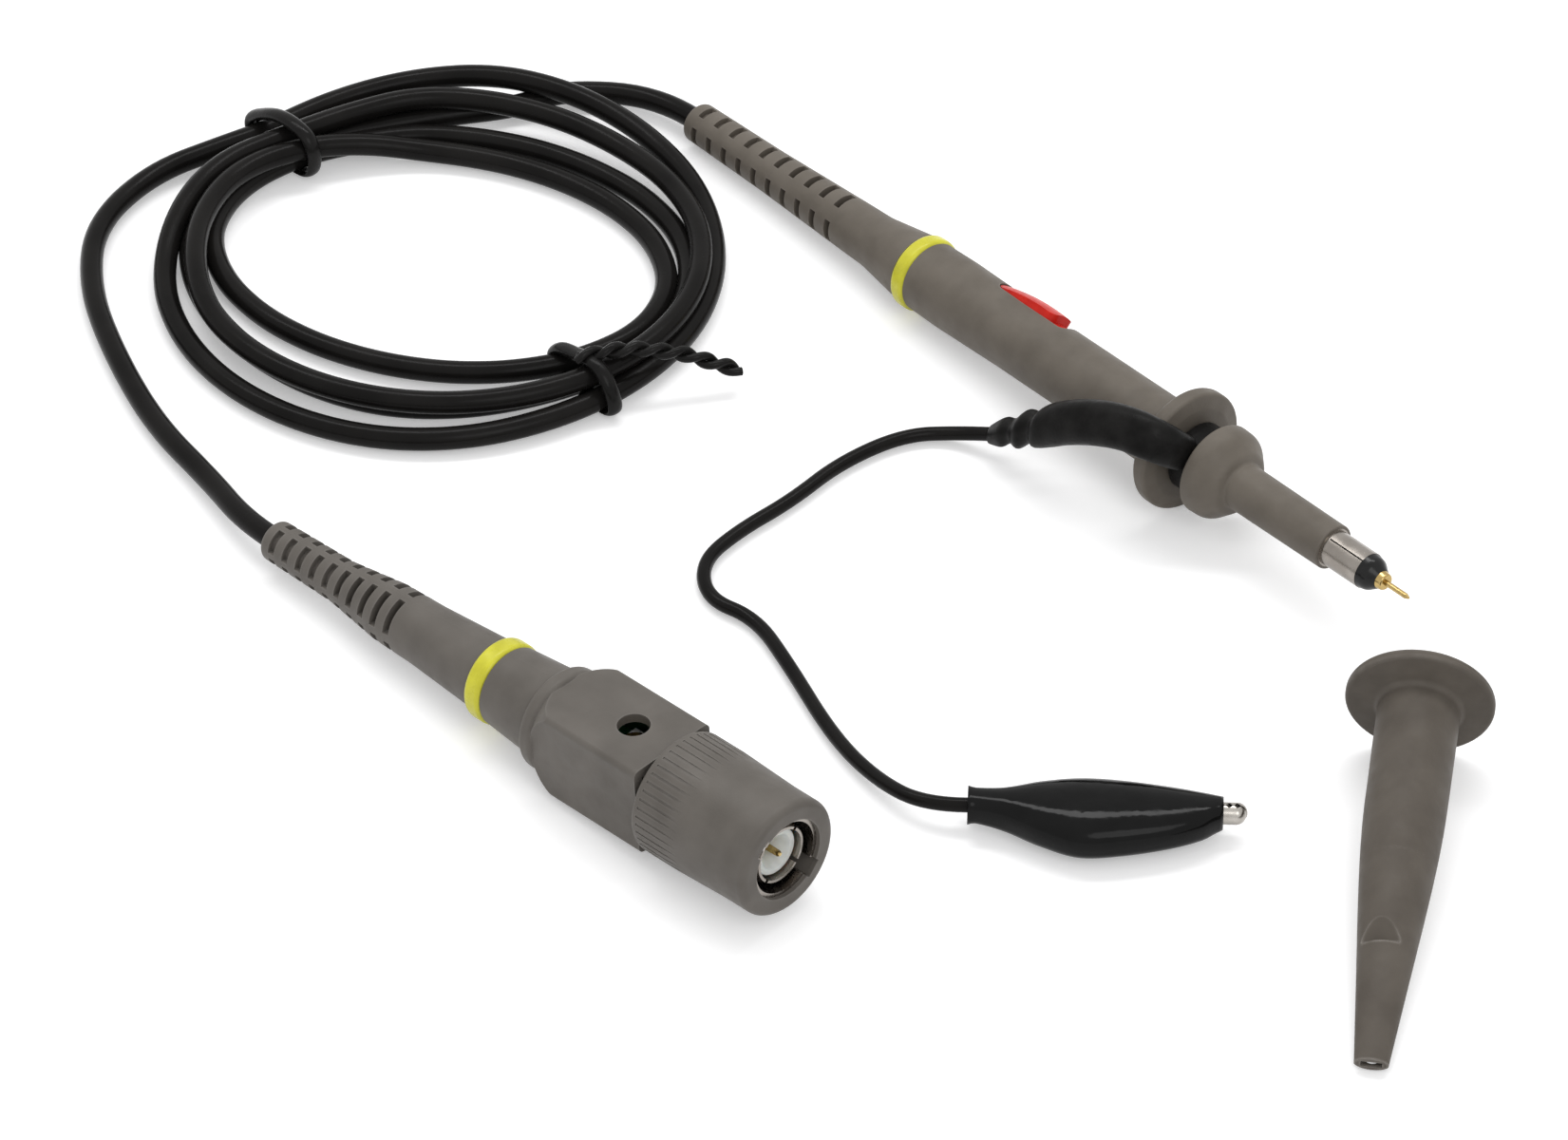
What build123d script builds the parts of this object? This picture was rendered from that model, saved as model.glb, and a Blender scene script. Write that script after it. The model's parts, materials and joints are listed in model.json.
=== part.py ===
from build123d import *
import math
import os

# A passive x1/x10 oscilloscope probe set laid on a table: the probe head, its coiled coaxial cable, the
# compensation box with a bayonet (BNC) connector, the ground lead with an alligator clip, and the sprung
# hook tip that pushes onto the nose. Millimetres. The table is z = 0 and the probe head lies along +X.
# Each sub-assembly is drawn about its own X axis, starting at its rear end, and then laid in its place.

os.makedirs("parts", exist_ok=True)

# ---- fits ------------------------------------------------------------------------------------------
RUN = 0.05          # radial clearance of a turning or sliding fit
GAP = 0.15          # clearance between a moving piece and what it passes
SEAT = 0.02         # clearance of a piece pushed home on its seat

# ---- cables ----------------------------------------------------------------------------------------
COAX_R = 1.55
LEAD_R = 0.95

# ---- probe head: stations along its axis, measured from the rear end of the strain relief ----------
BOOT_REAR_R = 2.8
BOOT_MID_X, BOOT_MID_R = 16.0, 3.05
BOOT_NECK_X, BOOT_NECK_R = 34.0, 3.68
MARKER_X, MARKER_W, MARKER_R = 46.2, 2.4, 5.3
MARKER_EDGE = 0.7
MARKER_SHOULDER_R = 4.95
BARREL_L, BARREL_R = 49.0, 4.85
BARREL_SWELL_L, BARREL_SWELL_R = 5.4, 5.05
BARREL_TAPER_L = 12.0
SPIGOT_L, SPIGOT_R = 4.2, 3.45
BARREL_WALL = 0.95
FLANGE_W, FLANGE_R = 2.4, 8.4
COLLAR_L, COLLAR_R = 4.2, 4.0
NOSE_FLANGE_R = 6.35
NOSE_DOME_L = 5.2
NOSE_R = 3.2
NOSE_L = 22.2
SHIELD_R, SHIELD_WALL = 2.48, 0.5
SHIELD_BACK_R = 2.7
SHIELD_OUT = 6.3
SHIELD_SLIT = 0.2
INSULATOR_L = 12.0
DOME_L, DOME_TIP_R = 2.4, 1.3
NEEDLE_SEAT_L, NEEDLE_SHANK_R = 0.9, 0.8
NEEDLE_R, NEEDLE_OUT = 0.38, 4.1

# ---- attenuation switch ----------------------------------------------------------------------------
WINDOW_FROM_MARKER, WINDOW_W = 11.9, 5.0
SWITCH_TRAVEL = 2.4
BUTTON_L, BUTTON_PROUD = 10.6, 0.75
SLIDE_T, SLIDE_SET_IN = 0.75, 0.5
SLIDE_SPREAD = 52.0
CONTACT_ARM, CONTACT_SHEET = 1.6, 0.3

# ---- circuit boards --------------------------------------------------------------------------------
BOARD_TOP, BOARD_T = -0.35, 0.8
BOARD_HOLE_R = 0.5
RESISTOR_R, RESISTOR_L, RESISTOR_LEAD_R = 1.1, 8.0, 0.25
COMP_BOARD_TOP = -0.6
FERRULE_R, FERRULE_L = 2.3, 6.0

# ---- strain relief slots ---------------------------------------------------------------------------
SLOT_COUNT = 10
SLOT_W = 1.1
SLOT_ROWS = (45, 135, 225, 315)
SLOT_SKIN = 0.45
PROBE_SLOT_X, PROBE_SLOT_PITCH, PROBE_SLOT_SPREAD = 2.5, 3.2, 27.0
BOX_SLOT_X, BOX_SLOT_PITCH, BOX_SLOT_SPREAD = 2.3, 2.55, 36.0

# ---- compensation box: stations measured from the rear end of its strain relief ---------------------
BOX_BOOT_R = 2.75
BOX_BOOT_MID_X, BOX_BOOT_MID_R = 13.0, 2.95
BOX_BOOT_NECK_X, BOX_BOOT_NECK_R = 24.0, 4.05
BOX_MARKER_X, BOX_MARKER_W, BOX_MARKER_R = 41.0, 2.8, 5.65
BOX_SHOULDER_R = 4.95
NECK_R, NECK_END_R = 5.4, 6.1
LIP_X, LIP_W, LIP_R = 52.3, 2.4, 7.05
BOX_L, BOX_SIDE = 20.7, 13.0
BOX_WALL = 1.3
BOX_EDGE = 0.9
BOX_REAR_ROUND = 6.6
FRAME_SHEET, FRAME_TOP = 0.4, 2.5
TRIMMER_SETBACK = 6.6
TRIMMER_HOLE_R = 2.1
TRIMMER_SIDE, TRIMMER_TOP = 6.0, 2.4
TRIMMER_HEAD_R, TRIMMER_HEAD_TOP, TRIMMER_SCREW_R = 1.9, 3.7, 1.5
TRIMMER_SCREW_FOOT, TRIMMER_SLOT_W = 0.9, 0.5

# ---- bayonet connector: lengths measured from the end of the box -----------------------------------
PLUG_L = 19.7
COUPLING_GAP = 0.7
COUPLING_R = 8.3
COUPLING_FACE_R = 7.95
COUPLING_MOUTH_R = 5.45
COUPLING_LIP = 0.6
COUPLING_STRAIGHT, COUPLING_TAPER = 5.3, 4.7
KNURL_COUNT, KNURL_DEPTH, KNURL_W = 44, 0.1, 0.3
KNURL_IN, KNURL_L = 0.9, 9.9
NOTCH_W, NOTCH_DEPTH, NOTCH_L = 2.4, 0.45, 1.0
BUSH_R, BUSH_BORE_R = 6.0, 4.9
CONTACT_R, CONTACT_WALL = 4.13, 0.65
CONTACT_IN, CONTACT_SETBACK = 6.0, 1.3
CONTACT_ROOT_R, CONTACT_ROOT_L = 4.3, 1.0
CONTACT_SLIT, CONTACT_SLIT_IN = 0.5, 3.0
GASKET_T = 0.8
SHANK_R, GROOVE_R = 4.5, 4.15
GROOVE_IN, GROOVE_W = 3.8, 0.6
RING_GAP = 1.6
BUSH_IN, BUSH_LIP = 2.1, 1.5
WASHER_IN, WASHER_T = 1.2, 0.6
BAYONET_SLOT_W = 2.2
BAYONET_LEAD_IN, BAYONET_RISE, BAYONET_TURN = 3.6, 3.0, 60.0
PIN_R, PIN_SETBACK = 0.68, 4.6

# ---- hook tip: stations measured from its socket face ----------------------------------------------
HOOK_FLANGE_R, HOOK_FLANGE_W = 9.35, 1.3
HOOK_L = 57.0
HOOK_ROOT_X, HOOK_ROOT_R = 17.0, 5.1
HOOK_SECTIONS = ((27.0, 4.7, 4.45), (38.5, 3.75, 3.3), (48.5, 2.85, 2.0), (HOOK_L, 2.1, 1.05))
CORE_X, CORE_R, CORE_L = 1.2, 4.1, 20.8
CORE_NECK_R, CORE_NECK_X = 3.15, 27.0
CORE_TIP_R, CORE_END_X = 2.4, 33.0
CORE_WALL = 0.5
SOCKET_R, SOCKET_X = 3.22, 18.4
SHIELD_SOCKET_X, DOME_SOCKET_R, DOME_SOCKET_X = 26.5, 1.45, 28.2
CUP_R, CUP_L, CUP_BORE_R = 1.25, 4.1, 0.45
PLUNGER_TRAVEL = 5.0
HOOK_SPRING_X, HOOK_SPRING_R, HOOK_SPRING_WIRE_R, HOOK_SPRING_TURNS = 43.5, 1.7, 0.2, 7
HOOK_WIRE_R, HOOK_SPAN = 0.35, 1.7
WIRE_STEP_IN, WIRE_STEP_L = 2.5, 3.5
THUMB_X, THUMB_L, THUMB_DEPTH, THUMB_ROLL = 40.5, 3.2, 0.8, 14.0

# ---- ground lead -----------------------------------------------------------------------------------
CLAMP_W, CLAMP_WALL, CLAMP_MOUTH = 3.0, 0.7, 70.0
CLAMP_ANGLE = 48.0
CLAMP_NECK_W, CLAMP_NECK_H, CLAMP_SIDE_GAP = 5.2, 5.6, 0.35
CLAMP_BLOCK_R = 11.1
BEAD_RADII, BEAD_NECKS = (3.0, 2.55, 1.85), (2.2, 1.6, 1.3)
CLIP_L = 34.5
JAW_SHEET = 0.4
JAW_HALF_W, JAW_BACK = 1.2, 1.1
NOSE_TUBE_R, NOSE_TUBE_X, NOSE_TUBE_DOME = 1.4, 23.6, 1.25
PAD_TIP_X, PAD_TIP_Y = 12.2, -5.2
EAR_HALF_W = 0.75
PIVOT_X, PIVOT_Y, PIVOT_R = 19.0, -0.6, 0.5
TOOTH_COUNT, TOOTH_PITCH, TOOTH_DEPTH = 8, 1.0, 0.45
CLIP_BOOT_L, CLIP_BOOT_WALL, CLIP_BOOT_STEPS = 31.5, 0.5, 14
CLIP_BOOT_HALF_H = 3.2
JAW_GAP = 0.1

# ---- coil and ties ---------------------------------------------------------------------------------
COIL_OUT_R = 39.0
COIL_HOLE, COIL_HOLE_TURN = (30.5, 21.0), -18.0
COIL_LOW, COIL_HIGH = 0.5, 6.9
COIL_EDGE = 2.4
TIE_W, TIE_T, TIE_UNDER_T = 2.3, 1.5, 0.45
TIE_MID_R, TIE_HALF = 32.6, 7.0
TIE_FAR, TIE_NEAR = 133.0, -52.0
TIE_TAIL_R = 0.9

# ---- where each sub-assembly lies ------------------------------------------------------------------
PROBE_AT, PROBE_ROLL = (-96.5, 45.5), -45.0
BOX_AT, BOX_YAW = (-64.3, -51.9), 5.1
HOOK_AT, HOOK_YAW = (56.4, 35.1), -49.5
CLIP_AT, CLIP_YAW = (29.9, -16.4), 47.0
COIL_AT, COIL_YAW = (-96.9, 0.7), 49.7
COUPLING_TURN = 45.0

# ---- sizes worked out from the values above --------------------------------------------------------
BARREL_X = MARKER_X + MARKER_W
BARREL_SWELL_X = BARREL_X + BARREL_SWELL_L
FLANGE_X = BARREL_X + BARREL_L
FLANGE_FRONT = FLANGE_X + FLANGE_W
NOSE_X = FLANGE_FRONT + COLLAR_L
NOSE_END = NOSE_X + NOSE_L
SHIELD_END = NOSE_END + SHIELD_OUT
NEEDLE_SEAT_X = SHIELD_END + DOME_L
BARREL_BORE_R = BARREL_R - BARREL_WALL
WINDOW_X = BARREL_X + WINDOW_FROM_MARKER
WINDOW_L = BUTTON_L + SWITCH_TRAVEL + 2 * GAP
SLIDE_R = BARREL_R - SLIDE_SET_IN
SLIDE_X = WINDOW_X - SWITCH_TRAVEL - 2 * GAP
SLIDE_L = WINDOW_L + SWITCH_TRAVEL + 3 * GAP
CONTACT_TOP = SLIDE_R - SLIDE_T - 0.4
CORE_END = MARKER_X + SPIGOT_L
BOX_CORE_END = LIP_X + LIP_W
BOX_END_X = LIP_X + BOX_L
TRIMMER_X = BOX_END_X - TRIMMER_SETBACK
PLUG_END_X = BOX_END_X + PLUG_L
MOUTH_X = PLUG_END_X - COUPLING_LIP
COUPLING_X = BOX_END_X + COUPLING_GAP
CONTACT_X = BOX_END_X + CONTACT_IN
CONTACT_END_X = PLUG_END_X - CONTACT_SETBACK
GROOVE_X = BOX_END_X + GROOVE_IN
BUSH_REAR_X = BOX_END_X + BUSH_IN
WASHER_X = BOX_END_X + WASHER_IN
CAVITY = BOX_SIDE / 2 - BOX_WALL
PLATE_X = BOX_END_X - 2
ROOM_X = LIP_X + 5.0


def turned(*corners):
    """A solid of revolution about X. Each corner is (x, radius) or (x, radius, rounding)."""
    rounding = [corner[2] if len(corner) > 2 else 0 for corner in corners]
    outline = FilletPolyline(*[(corner[0], corner[1]) for corner in corners], radius=rounding, close=True)
    return revolve(make_face(Plane.XZ * outline), Axis.X)


def tube(x0, x1, inner, outer):
    return turned((x0, inner), (x1, inner), (x1, outer), (x0, outer))


def rod(x0, x1, radius):
    return turned((x0, 0), (x1, 0), (x1, radius), (x0, radius))


def block(x, y, z):
    """A box from its (low, high) reach along each axis."""
    size = [high - low for low, high in (x, y, z)]
    middle = [(low + high) / 2 for low, high in (x, y, z)]
    return Pos(*middle) * Box(*size)


def sector(x0, x1, inner, outer, half_angle, middle_angle):
    """A piece of tube that spans half_angle each side of middle_angle, counted from +Z about X."""
    outline = make_face(Plane.XZ * Polyline((x0, inner), (x1, inner), (x1, outer), (x0, outer), close=True))
    return Rot(middle_angle - half_angle, 0, 0) * revolve(outline, Axis.X, 2 * half_angle)


def slots(first, pitch, floor_r, half_angle):
    """Four rows of cross slots that let a strain relief bend."""
    reach = MARKER_R + 1
    starts = [first + i * pitch - SLOT_W / 2 for i in range(SLOT_COUNT)]
    return [sector(x, x + SLOT_W, floor_r, reach, half_angle, row) for x in starts for row in SLOT_ROWS]


def coil_spring(x0, x1, radius, wire_r, turns):
    path = Helix(pitch=(x1 - x0) / turns, height=x1 - x0, radius=radius)
    wire = sweep(Plane(path @ 0, z_dir=path % 0) * Circle(wire_r), path=path)
    return Pos(x0, 0, 0) * Rot(0, 90, 0) * wire


def section(x, half_y, half_z, corner, y=0.0):
    """A rounded rectangle across the X axis, for lofts."""
    plane = Plane(origin=(x, y, 0), x_dir=(0, 1, 0), z_dir=(1, 0, 0))
    return plane * RectangleRounded(2 * half_y, 2 * half_z, corner)


def oval(x, half_y, half_z):
    return Plane(origin=(x, 0, 0), x_dir=(0, 1, 0), z_dir=(1, 0, 0)) * Ellipse(half_y, half_z)


def laid(at, yaw, roll, foot, heel):
    """Where a long piece lies when it rests on the table at two of its (x, radius) points."""
    pitch = math.atan((heel[1] - foot[1]) / (heel[0] - foot[0]))
    height = foot[1] * math.cos(pitch) - foot[0] * math.sin(pitch)
    return Pos(at[0], at[1], height) * Rot(0, 0, yaw) * Rot(0, -math.degrees(pitch), 0) * Rot(roll, 0, 0)


def save(place, **pieces):
    for name, piece in pieces.items():
        export_step(place * piece, f"parts/{name}.step")


# ---- probe head ------------------------------------------------------------------------------------
PROBE_FEET = ((0.7, BOOT_REAR_R), (FLANGE_X + 0.8, FLANGE_R))
PROBE_LEVEL = laid(PROBE_AT, 0, 0, *PROBE_FEET)
PROBE = laid(PROBE_AT, 0, PROBE_ROLL, *PROBE_FEET)


def probe_strain_relief():
    bore = COAX_R + RUN
    spigot = SPIGOT_R + SEAT
    boot = turned(
        (0, bore), (MARKER_X - SPIGOT_L, bore), (MARKER_X - SPIGOT_L, spigot), (MARKER_X, spigot),
        (MARKER_X, MARKER_SHOULDER_R), (BOOT_NECK_X + 4, BOOT_NECK_R + 0.1, 12), (BOOT_NECK_X, BOOT_NECK_R),
        (BOOT_MID_X, BOOT_MID_R), (0, BOOT_REAR_R, 0.7),
    )
    return boot - slots(PROBE_SLOT_X, PROBE_SLOT_PITCH, bore + SLOT_SKIN, PROBE_SLOT_SPREAD)


def marker_ring(x, width, inner, outer):
    """A colour-coding band with a domed outside, stretched over its seat."""
    return turned((x, inner), (x + width, inner), (x + width, outer, MARKER_EDGE), (x, outer, MARKER_EDGE))


def probe_barrel():
    """The hand-held shell: rear spigot, swelling grip, finger flange, and the pocket of the switch."""
    wire_way = FERRULE_R + RUN
    front_bore = SHIELD_BACK_R + SEAT
    chamber = (BARREL_X + 2, FLANGE_X - 5)
    shell = turned(
        (MARKER_X - SPIGOT_L, wire_way), (chamber[0], wire_way), (chamber[0], BARREL_BORE_R),
        (chamber[1], BARREL_BORE_R), (chamber[1], front_bore), (FLANGE_FRONT, front_bore),
        (FLANGE_FRONT, NOSE_FLANGE_R, 1.5), (FLANGE_FRONT - 0.4, FLANGE_R, 0.5), (FLANGE_X, FLANGE_R, 0.8),
        (FLANGE_X - 1.2, BARREL_R, 1.2), (BARREL_SWELL_X + BARREL_TAPER_L, BARREL_R, 30),
        (BARREL_SWELL_X, BARREL_SWELL_R, 8), (BARREL_X, MARKER_SHOULDER_R), (BARREL_X, SPIGOT_R),
        (MARKER_X - SPIGOT_L, SPIGOT_R),
    )
    inside = BARREL_BORE_R - 1
    pocket = tube(SLIDE_X - GAP, SLIDE_X + SLIDE_L + SWITCH_TRAVEL + GAP, inside, SLIDE_R + RUN)
    window = Pos(WINDOW_X + WINDOW_L / 2, 0) * RectangleRounded(WINDOW_L, WINDOW_W, 1.2)
    return shell - pocket - extrude(Plane.XY.offset(inside) * window, BARREL_R)


def switch_slider():
    """The red button: a crowned hump that stands in the window, on a curved plate that closes it."""
    x0 = WINDOW_X + GAP
    plate = sector(SLIDE_X, SLIDE_X + SLIDE_L, SLIDE_R - SLIDE_T, SLIDE_R, SLIDE_SPREAD, 0)
    top = BARREL_R + BUTTON_PROUD
    crown = Plane.XZ * make_face([
        Line((x0, 0), (x0, BARREL_R - 0.1)),
        ThreePointArc((x0, BARREL_R - 0.1), (x0 + 0.45 * BUTTON_L, top - 0.08), (x0 + BUTTON_L, top - 0.05)),
        Line((x0 + BUTTON_L, top - 0.05), (x0 + BUTTON_L, 0)),
        Line((x0 + BUTTON_L, 0), (x0, 0)),
    ])
    footprint = Pos(x0 + BUTTON_L / 2, 0) * RectangleRounded(BUTTON_L, WINDOW_W - 2 * GAP, 1.1)
    hump = extrude(Plane.XY.offset(SLIDE_R - SLIDE_T) * footprint, BARREL_R) & revolve(crown, Axis.X)
    middle = x0 + BUTTON_L / 2
    post_top = SLIDE_R - CONTACT_SHEET
    post = block((middle - CONTACT_ARM, middle + CONTACT_ARM), (-1.2, 1.2), (CONTACT_TOP, post_top))
    return plate + (hump - rod(x0 - 1, x0 + BUTTON_L + 1, SLIDE_R - SLIDE_T)) + post


def switch_contact():
    """The leaf that the slider drags along the board: a foot, two arms and a dimpled sole."""
    middle = WINDOW_X + BUTTON_L / 2
    sheet = CONTACT_SHEET
    head = block((middle - CONTACT_ARM, middle + CONTACT_ARM), (-1, 1), (CONTACT_TOP - sheet, CONTACT_TOP))
    feet = [middle - CONTACT_ARM, middle + CONTACT_ARM]
    arms = [block((x - sheet / 2, x + sheet / 2), (-1, 1), (0, CONTACT_TOP)) for x in feet]
    soles = [block((x - 0.5, x + 0.5), (-1, 1), (BOARD_TOP + 0.1, 0)) for x in feet]
    return head + arms + soles


def attenuator_board():
    half = math.sqrt((BARREL_BORE_R - RUN) ** 2 - (BOARD_TOP - BOARD_T) ** 2) - RUN
    board = block((BARREL_X + 2.2, FLANGE_X - 7), (-half, half), (BOARD_TOP - BOARD_T, BOARD_TOP))
    holes = [Pos(BARREL_X + x, 0, BOARD_TOP) * Cylinder(BOARD_HOLE_R, 3) for x in (5, 9)]
    return board - holes


def tip_resistor():
    """The 9 megohm series resistor, lying on the board with its lead run forward to the needle."""
    x0 = FLANGE_X - 18
    x1 = x0 + RESISTOR_L
    waist = RESISTOR_R - 0.15
    body = turned(
        (x0, 0), (x1, 0), (x1, RESISTOR_R, 0.3), (x1 - 1.5, RESISTOR_R), (x1 - 2, waist),
        (x0 + 2, waist), (x0 + 1.5, RESISTOR_R), (x0, RESISTOR_R, 0.3),
    )
    leads = rod(x0 - 3, x0 + 0.1, RESISTOR_LEAD_R) + rod(x1 - 0.1, FLANGE_X + 22, RESISTOR_LEAD_R)
    return Pos(0, 0, BOARD_TOP + RUN + RESISTOR_R) * (body + leads)


def nose_sleeve():
    """The finger stop behind the tip and the tube that a push-on tip grips."""
    bore = SHIELD_BACK_R + SEAT
    return turned(
        (NOSE_X, bore), (NOSE_END, bore), (NOSE_END, NOSE_R - 0.1, 0.25), (NOSE_X + NOSE_DOME_L, NOSE_R, 0.5),
        (NOSE_X + NOSE_DOME_L - 0.4, NOSE_R + 1.1, 1.4), (NOSE_X + 2.4, NOSE_FLANGE_R - 0.1, 2.2),
        (NOSE_X, NOSE_FLANGE_R, 0.4),
    )


def shield_tube():
    """The earthed tube under the nose, stepped down where it comes out, with its lengthwise seam."""
    bore = SHIELD_R - SHIELD_WALL
    shell = turned(
        (FLANGE_X - 4, bore), (SHIELD_END, bore), (SHIELD_END, SHIELD_R), (NOSE_END, SHIELD_R),
        (NOSE_END, SHIELD_BACK_R), (FLANGE_X - 4, SHIELD_BACK_R),
    )
    slit = block((NOSE_END + 0.4, SHIELD_END + 1), (-SHIELD_SLIT / 2, SHIELD_SLIT / 2), (0, SHIELD_R + 1))
    return shell - Rot(70, 0, 0) * slit


def tip_insulator():
    inner = NEEDLE_SHANK_R + SEAT
    seat = SHIELD_R - SHIELD_WALL - SEAT
    rear = SHIELD_END - INSULATOR_L
    return turned(
        (rear, inner), (NEEDLE_SEAT_X, inner), (NEEDLE_SEAT_X, DOME_TIP_R),
        (SHIELD_END + 1.1, SHIELD_R - 0.25, 1.6), (SHIELD_END, SHIELD_R - RUN), (SHIELD_END, seat),
        (rear, seat),
    )


def tip_needle():
    rear = SHIELD_END - INSULATOR_L - 1
    shoulder = NEEDLE_SEAT_X + NEEDLE_SEAT_L
    end = shoulder + NEEDLE_OUT
    return turned(
        (rear, 0), (end, 0), (end, NEEDLE_R * 0.35), (end - 0.6, NEEDLE_R, 0.4), (shoulder, NEEDLE_R),
        (shoulder, DOME_TIP_R - 0.2, 0.3), (NEEDLE_SEAT_X, DOME_TIP_R - RUN), (NEEDLE_SEAT_X, NEEDLE_SHANK_R),
        (rear, NEEDLE_SHANK_R),
    )


save(
    PROBE,
    probe_strain_relief=probe_strain_relief(),
    probe_marker_ring=marker_ring(MARKER_X, MARKER_W, SPIGOT_R + SEAT, MARKER_R),
    probe_barrel=probe_barrel(),
    probe_cable_end=rod(0, CORE_END, COAX_R),
    probe_crimp_ferrule=tube(CORE_END - FERRULE_L, CORE_END, COAX_R + SEAT, FERRULE_R),
    switch_slider=switch_slider(),
    switch_contact=switch_contact(),
    attenuator_board=attenuator_board(),
    tip_resistor=tip_resistor(),
    ground_collar=tube(FLANGE_FRONT, NOSE_X, SHIELD_BACK_R + SEAT, COLLAR_R),
    nose_sleeve=nose_sleeve(),
    shield_tube=shield_tube(),
    tip_insulator=tip_insulator(),
    tip_needle=tip_needle(),
)


# ---- compensation box ------------------------------------------------------------------------------
BOX = laid(BOX_AT, BOX_YAW, 0, (LIP_X + LIP_W - 0.8, LIP_R), (COUPLING_X + 0.5, COUPLING_R))


def box_strain_relief():
    bore = COAX_R + RUN
    spigot = SPIGOT_R + SEAT
    seat_x = BOX_MARKER_X - SPIGOT_L
    boot = turned(
        (0, bore), (seat_x, bore), (seat_x, spigot), (BOX_MARKER_X, spigot), (BOX_MARKER_X, BOX_SHOULDER_R),
        (BOX_BOOT_NECK_X + 5, BOX_BOOT_NECK_R + 0.15, 12), (BOX_BOOT_NECK_X - 2, BOX_BOOT_NECK_R, 8),
        (BOX_BOOT_MID_X, BOX_BOOT_MID_R, 12), (0, BOX_BOOT_R, 0.7),
    )
    return boot - slots(BOX_SLOT_X, BOX_SLOT_PITCH, bore + SLOT_SKIN, BOX_SLOT_SPREAD)


def comp_box_cover():
    """The square housing: a turned neck and lip that swell into the box, hollow for the circuit."""
    neck_x = BOX_MARKER_X + BOX_MARKER_W
    neck = turned(
        (BOX_MARKER_X - SPIGOT_L, 0), (LIP_X + LIP_W, 0), (LIP_X + LIP_W, LIP_R, 0.8), (LIP_X, LIP_R, 0.8),
        (LIP_X, NECK_END_R), (neck_x, NECK_R, 0.2), (neck_x, SPIGOT_R), (BOX_MARKER_X - SPIGOT_L, SPIGOT_R),
    )
    rear_x = LIP_X + 2.0
    square = extrude(section(rear_x, BOX_SIDE / 2, BOX_SIDE / 2, BOX_EDGE), BOX_END_X - rear_x)
    corner = BOX_SIDE / 2 * math.sqrt(2)
    envelope = turned(
        (LIP_X + 1.0, 0), (BOX_END_X, 0), (BOX_END_X, corner), (LIP_X + 4.4, corner, BOX_REAR_ROUND),
        (rear_x, LIP_R - 0.3), (LIP_X + 1.0, LIP_R - 1.0),
    )
    room = block((ROOM_X, BOX_END_X + 1), (-CAVITY, CAVITY), (-CAVITY, CAVITY))
    hole = Pos(TRIMMER_X, 0, BOX_SIDE / 2) * Cylinder(TRIMMER_HOLE_R, 3 * BOX_WALL)
    wire_way = rod(0, ROOM_X + 1, FERRULE_R + RUN)
    return neck + (square & envelope) - wire_way - room - hole


def box_frame():
    """The folded screening channel inside the cover."""
    out = CAVITY - RUN
    inside = out - FRAME_SHEET
    rear_x, front_x = ROOM_X + 0.3, PLATE_X - RUN
    channel = block((rear_x, front_x), (-out, out), (-out, FRAME_TOP))
    return channel - block((rear_x - 1, front_x + 1), (-inside, inside), (-inside, FRAME_TOP + 1))


def comp_board():
    half = CAVITY - RUN - FRAME_SHEET - RUN
    board = block((ROOM_X + 0.6, PLATE_X - 0.3), (-half, half), (COMP_BOARD_TOP - BOARD_T, COMP_BOARD_TOP))
    return board - [Pos(ROOM_X + 1.8, y, COMP_BOARD_TOP) * Cylinder(BOARD_HOLE_R, 3) for y in (-3, 3)]


def upright(radius, low, high):
    """A round post across the box at the trimmer."""
    return Pos(TRIMMER_X, 0, (low + high) / 2) * Cylinder(radius, high - low)


def trimmer_body():
    half = TRIMMER_SIDE / 2
    body = block((TRIMMER_X - half, TRIMMER_X + half), (-half, half), (COMP_BOARD_TOP, TRIMMER_TOP))
    return body - upright(TRIMMER_SCREW_R + RUN, TRIMMER_SCREW_FOOT - RUN, TRIMMER_TOP + 1)


def trimmer_screw():
    """The adjuster under the hole in the cover: a slotted head on a plain shank."""
    head_low = TRIMMER_TOP + RUN
    screw = upright(TRIMMER_SCREW_R, TRIMMER_SCREW_FOOT, head_low + RUN)
    screw += upright(TRIMMER_HEAD_R, head_low, TRIMMER_HEAD_TOP)
    half = TRIMMER_HEAD_R + 1
    slot_floor = TRIMMER_HEAD_TOP - 0.7
    slot = block(
        (TRIMMER_X - half, TRIMMER_X + half), (-TRIMMER_SLOT_W / 2, TRIMMER_SLOT_W / 2),
        (slot_floor, TRIMMER_HEAD_TOP + 1),
    )
    return screw - slot


# ---- bayonet connector -----------------------------------------------------------------------------
COUPLING = BOX * Rot(COUPLING_TURN, 0, 0)


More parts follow.
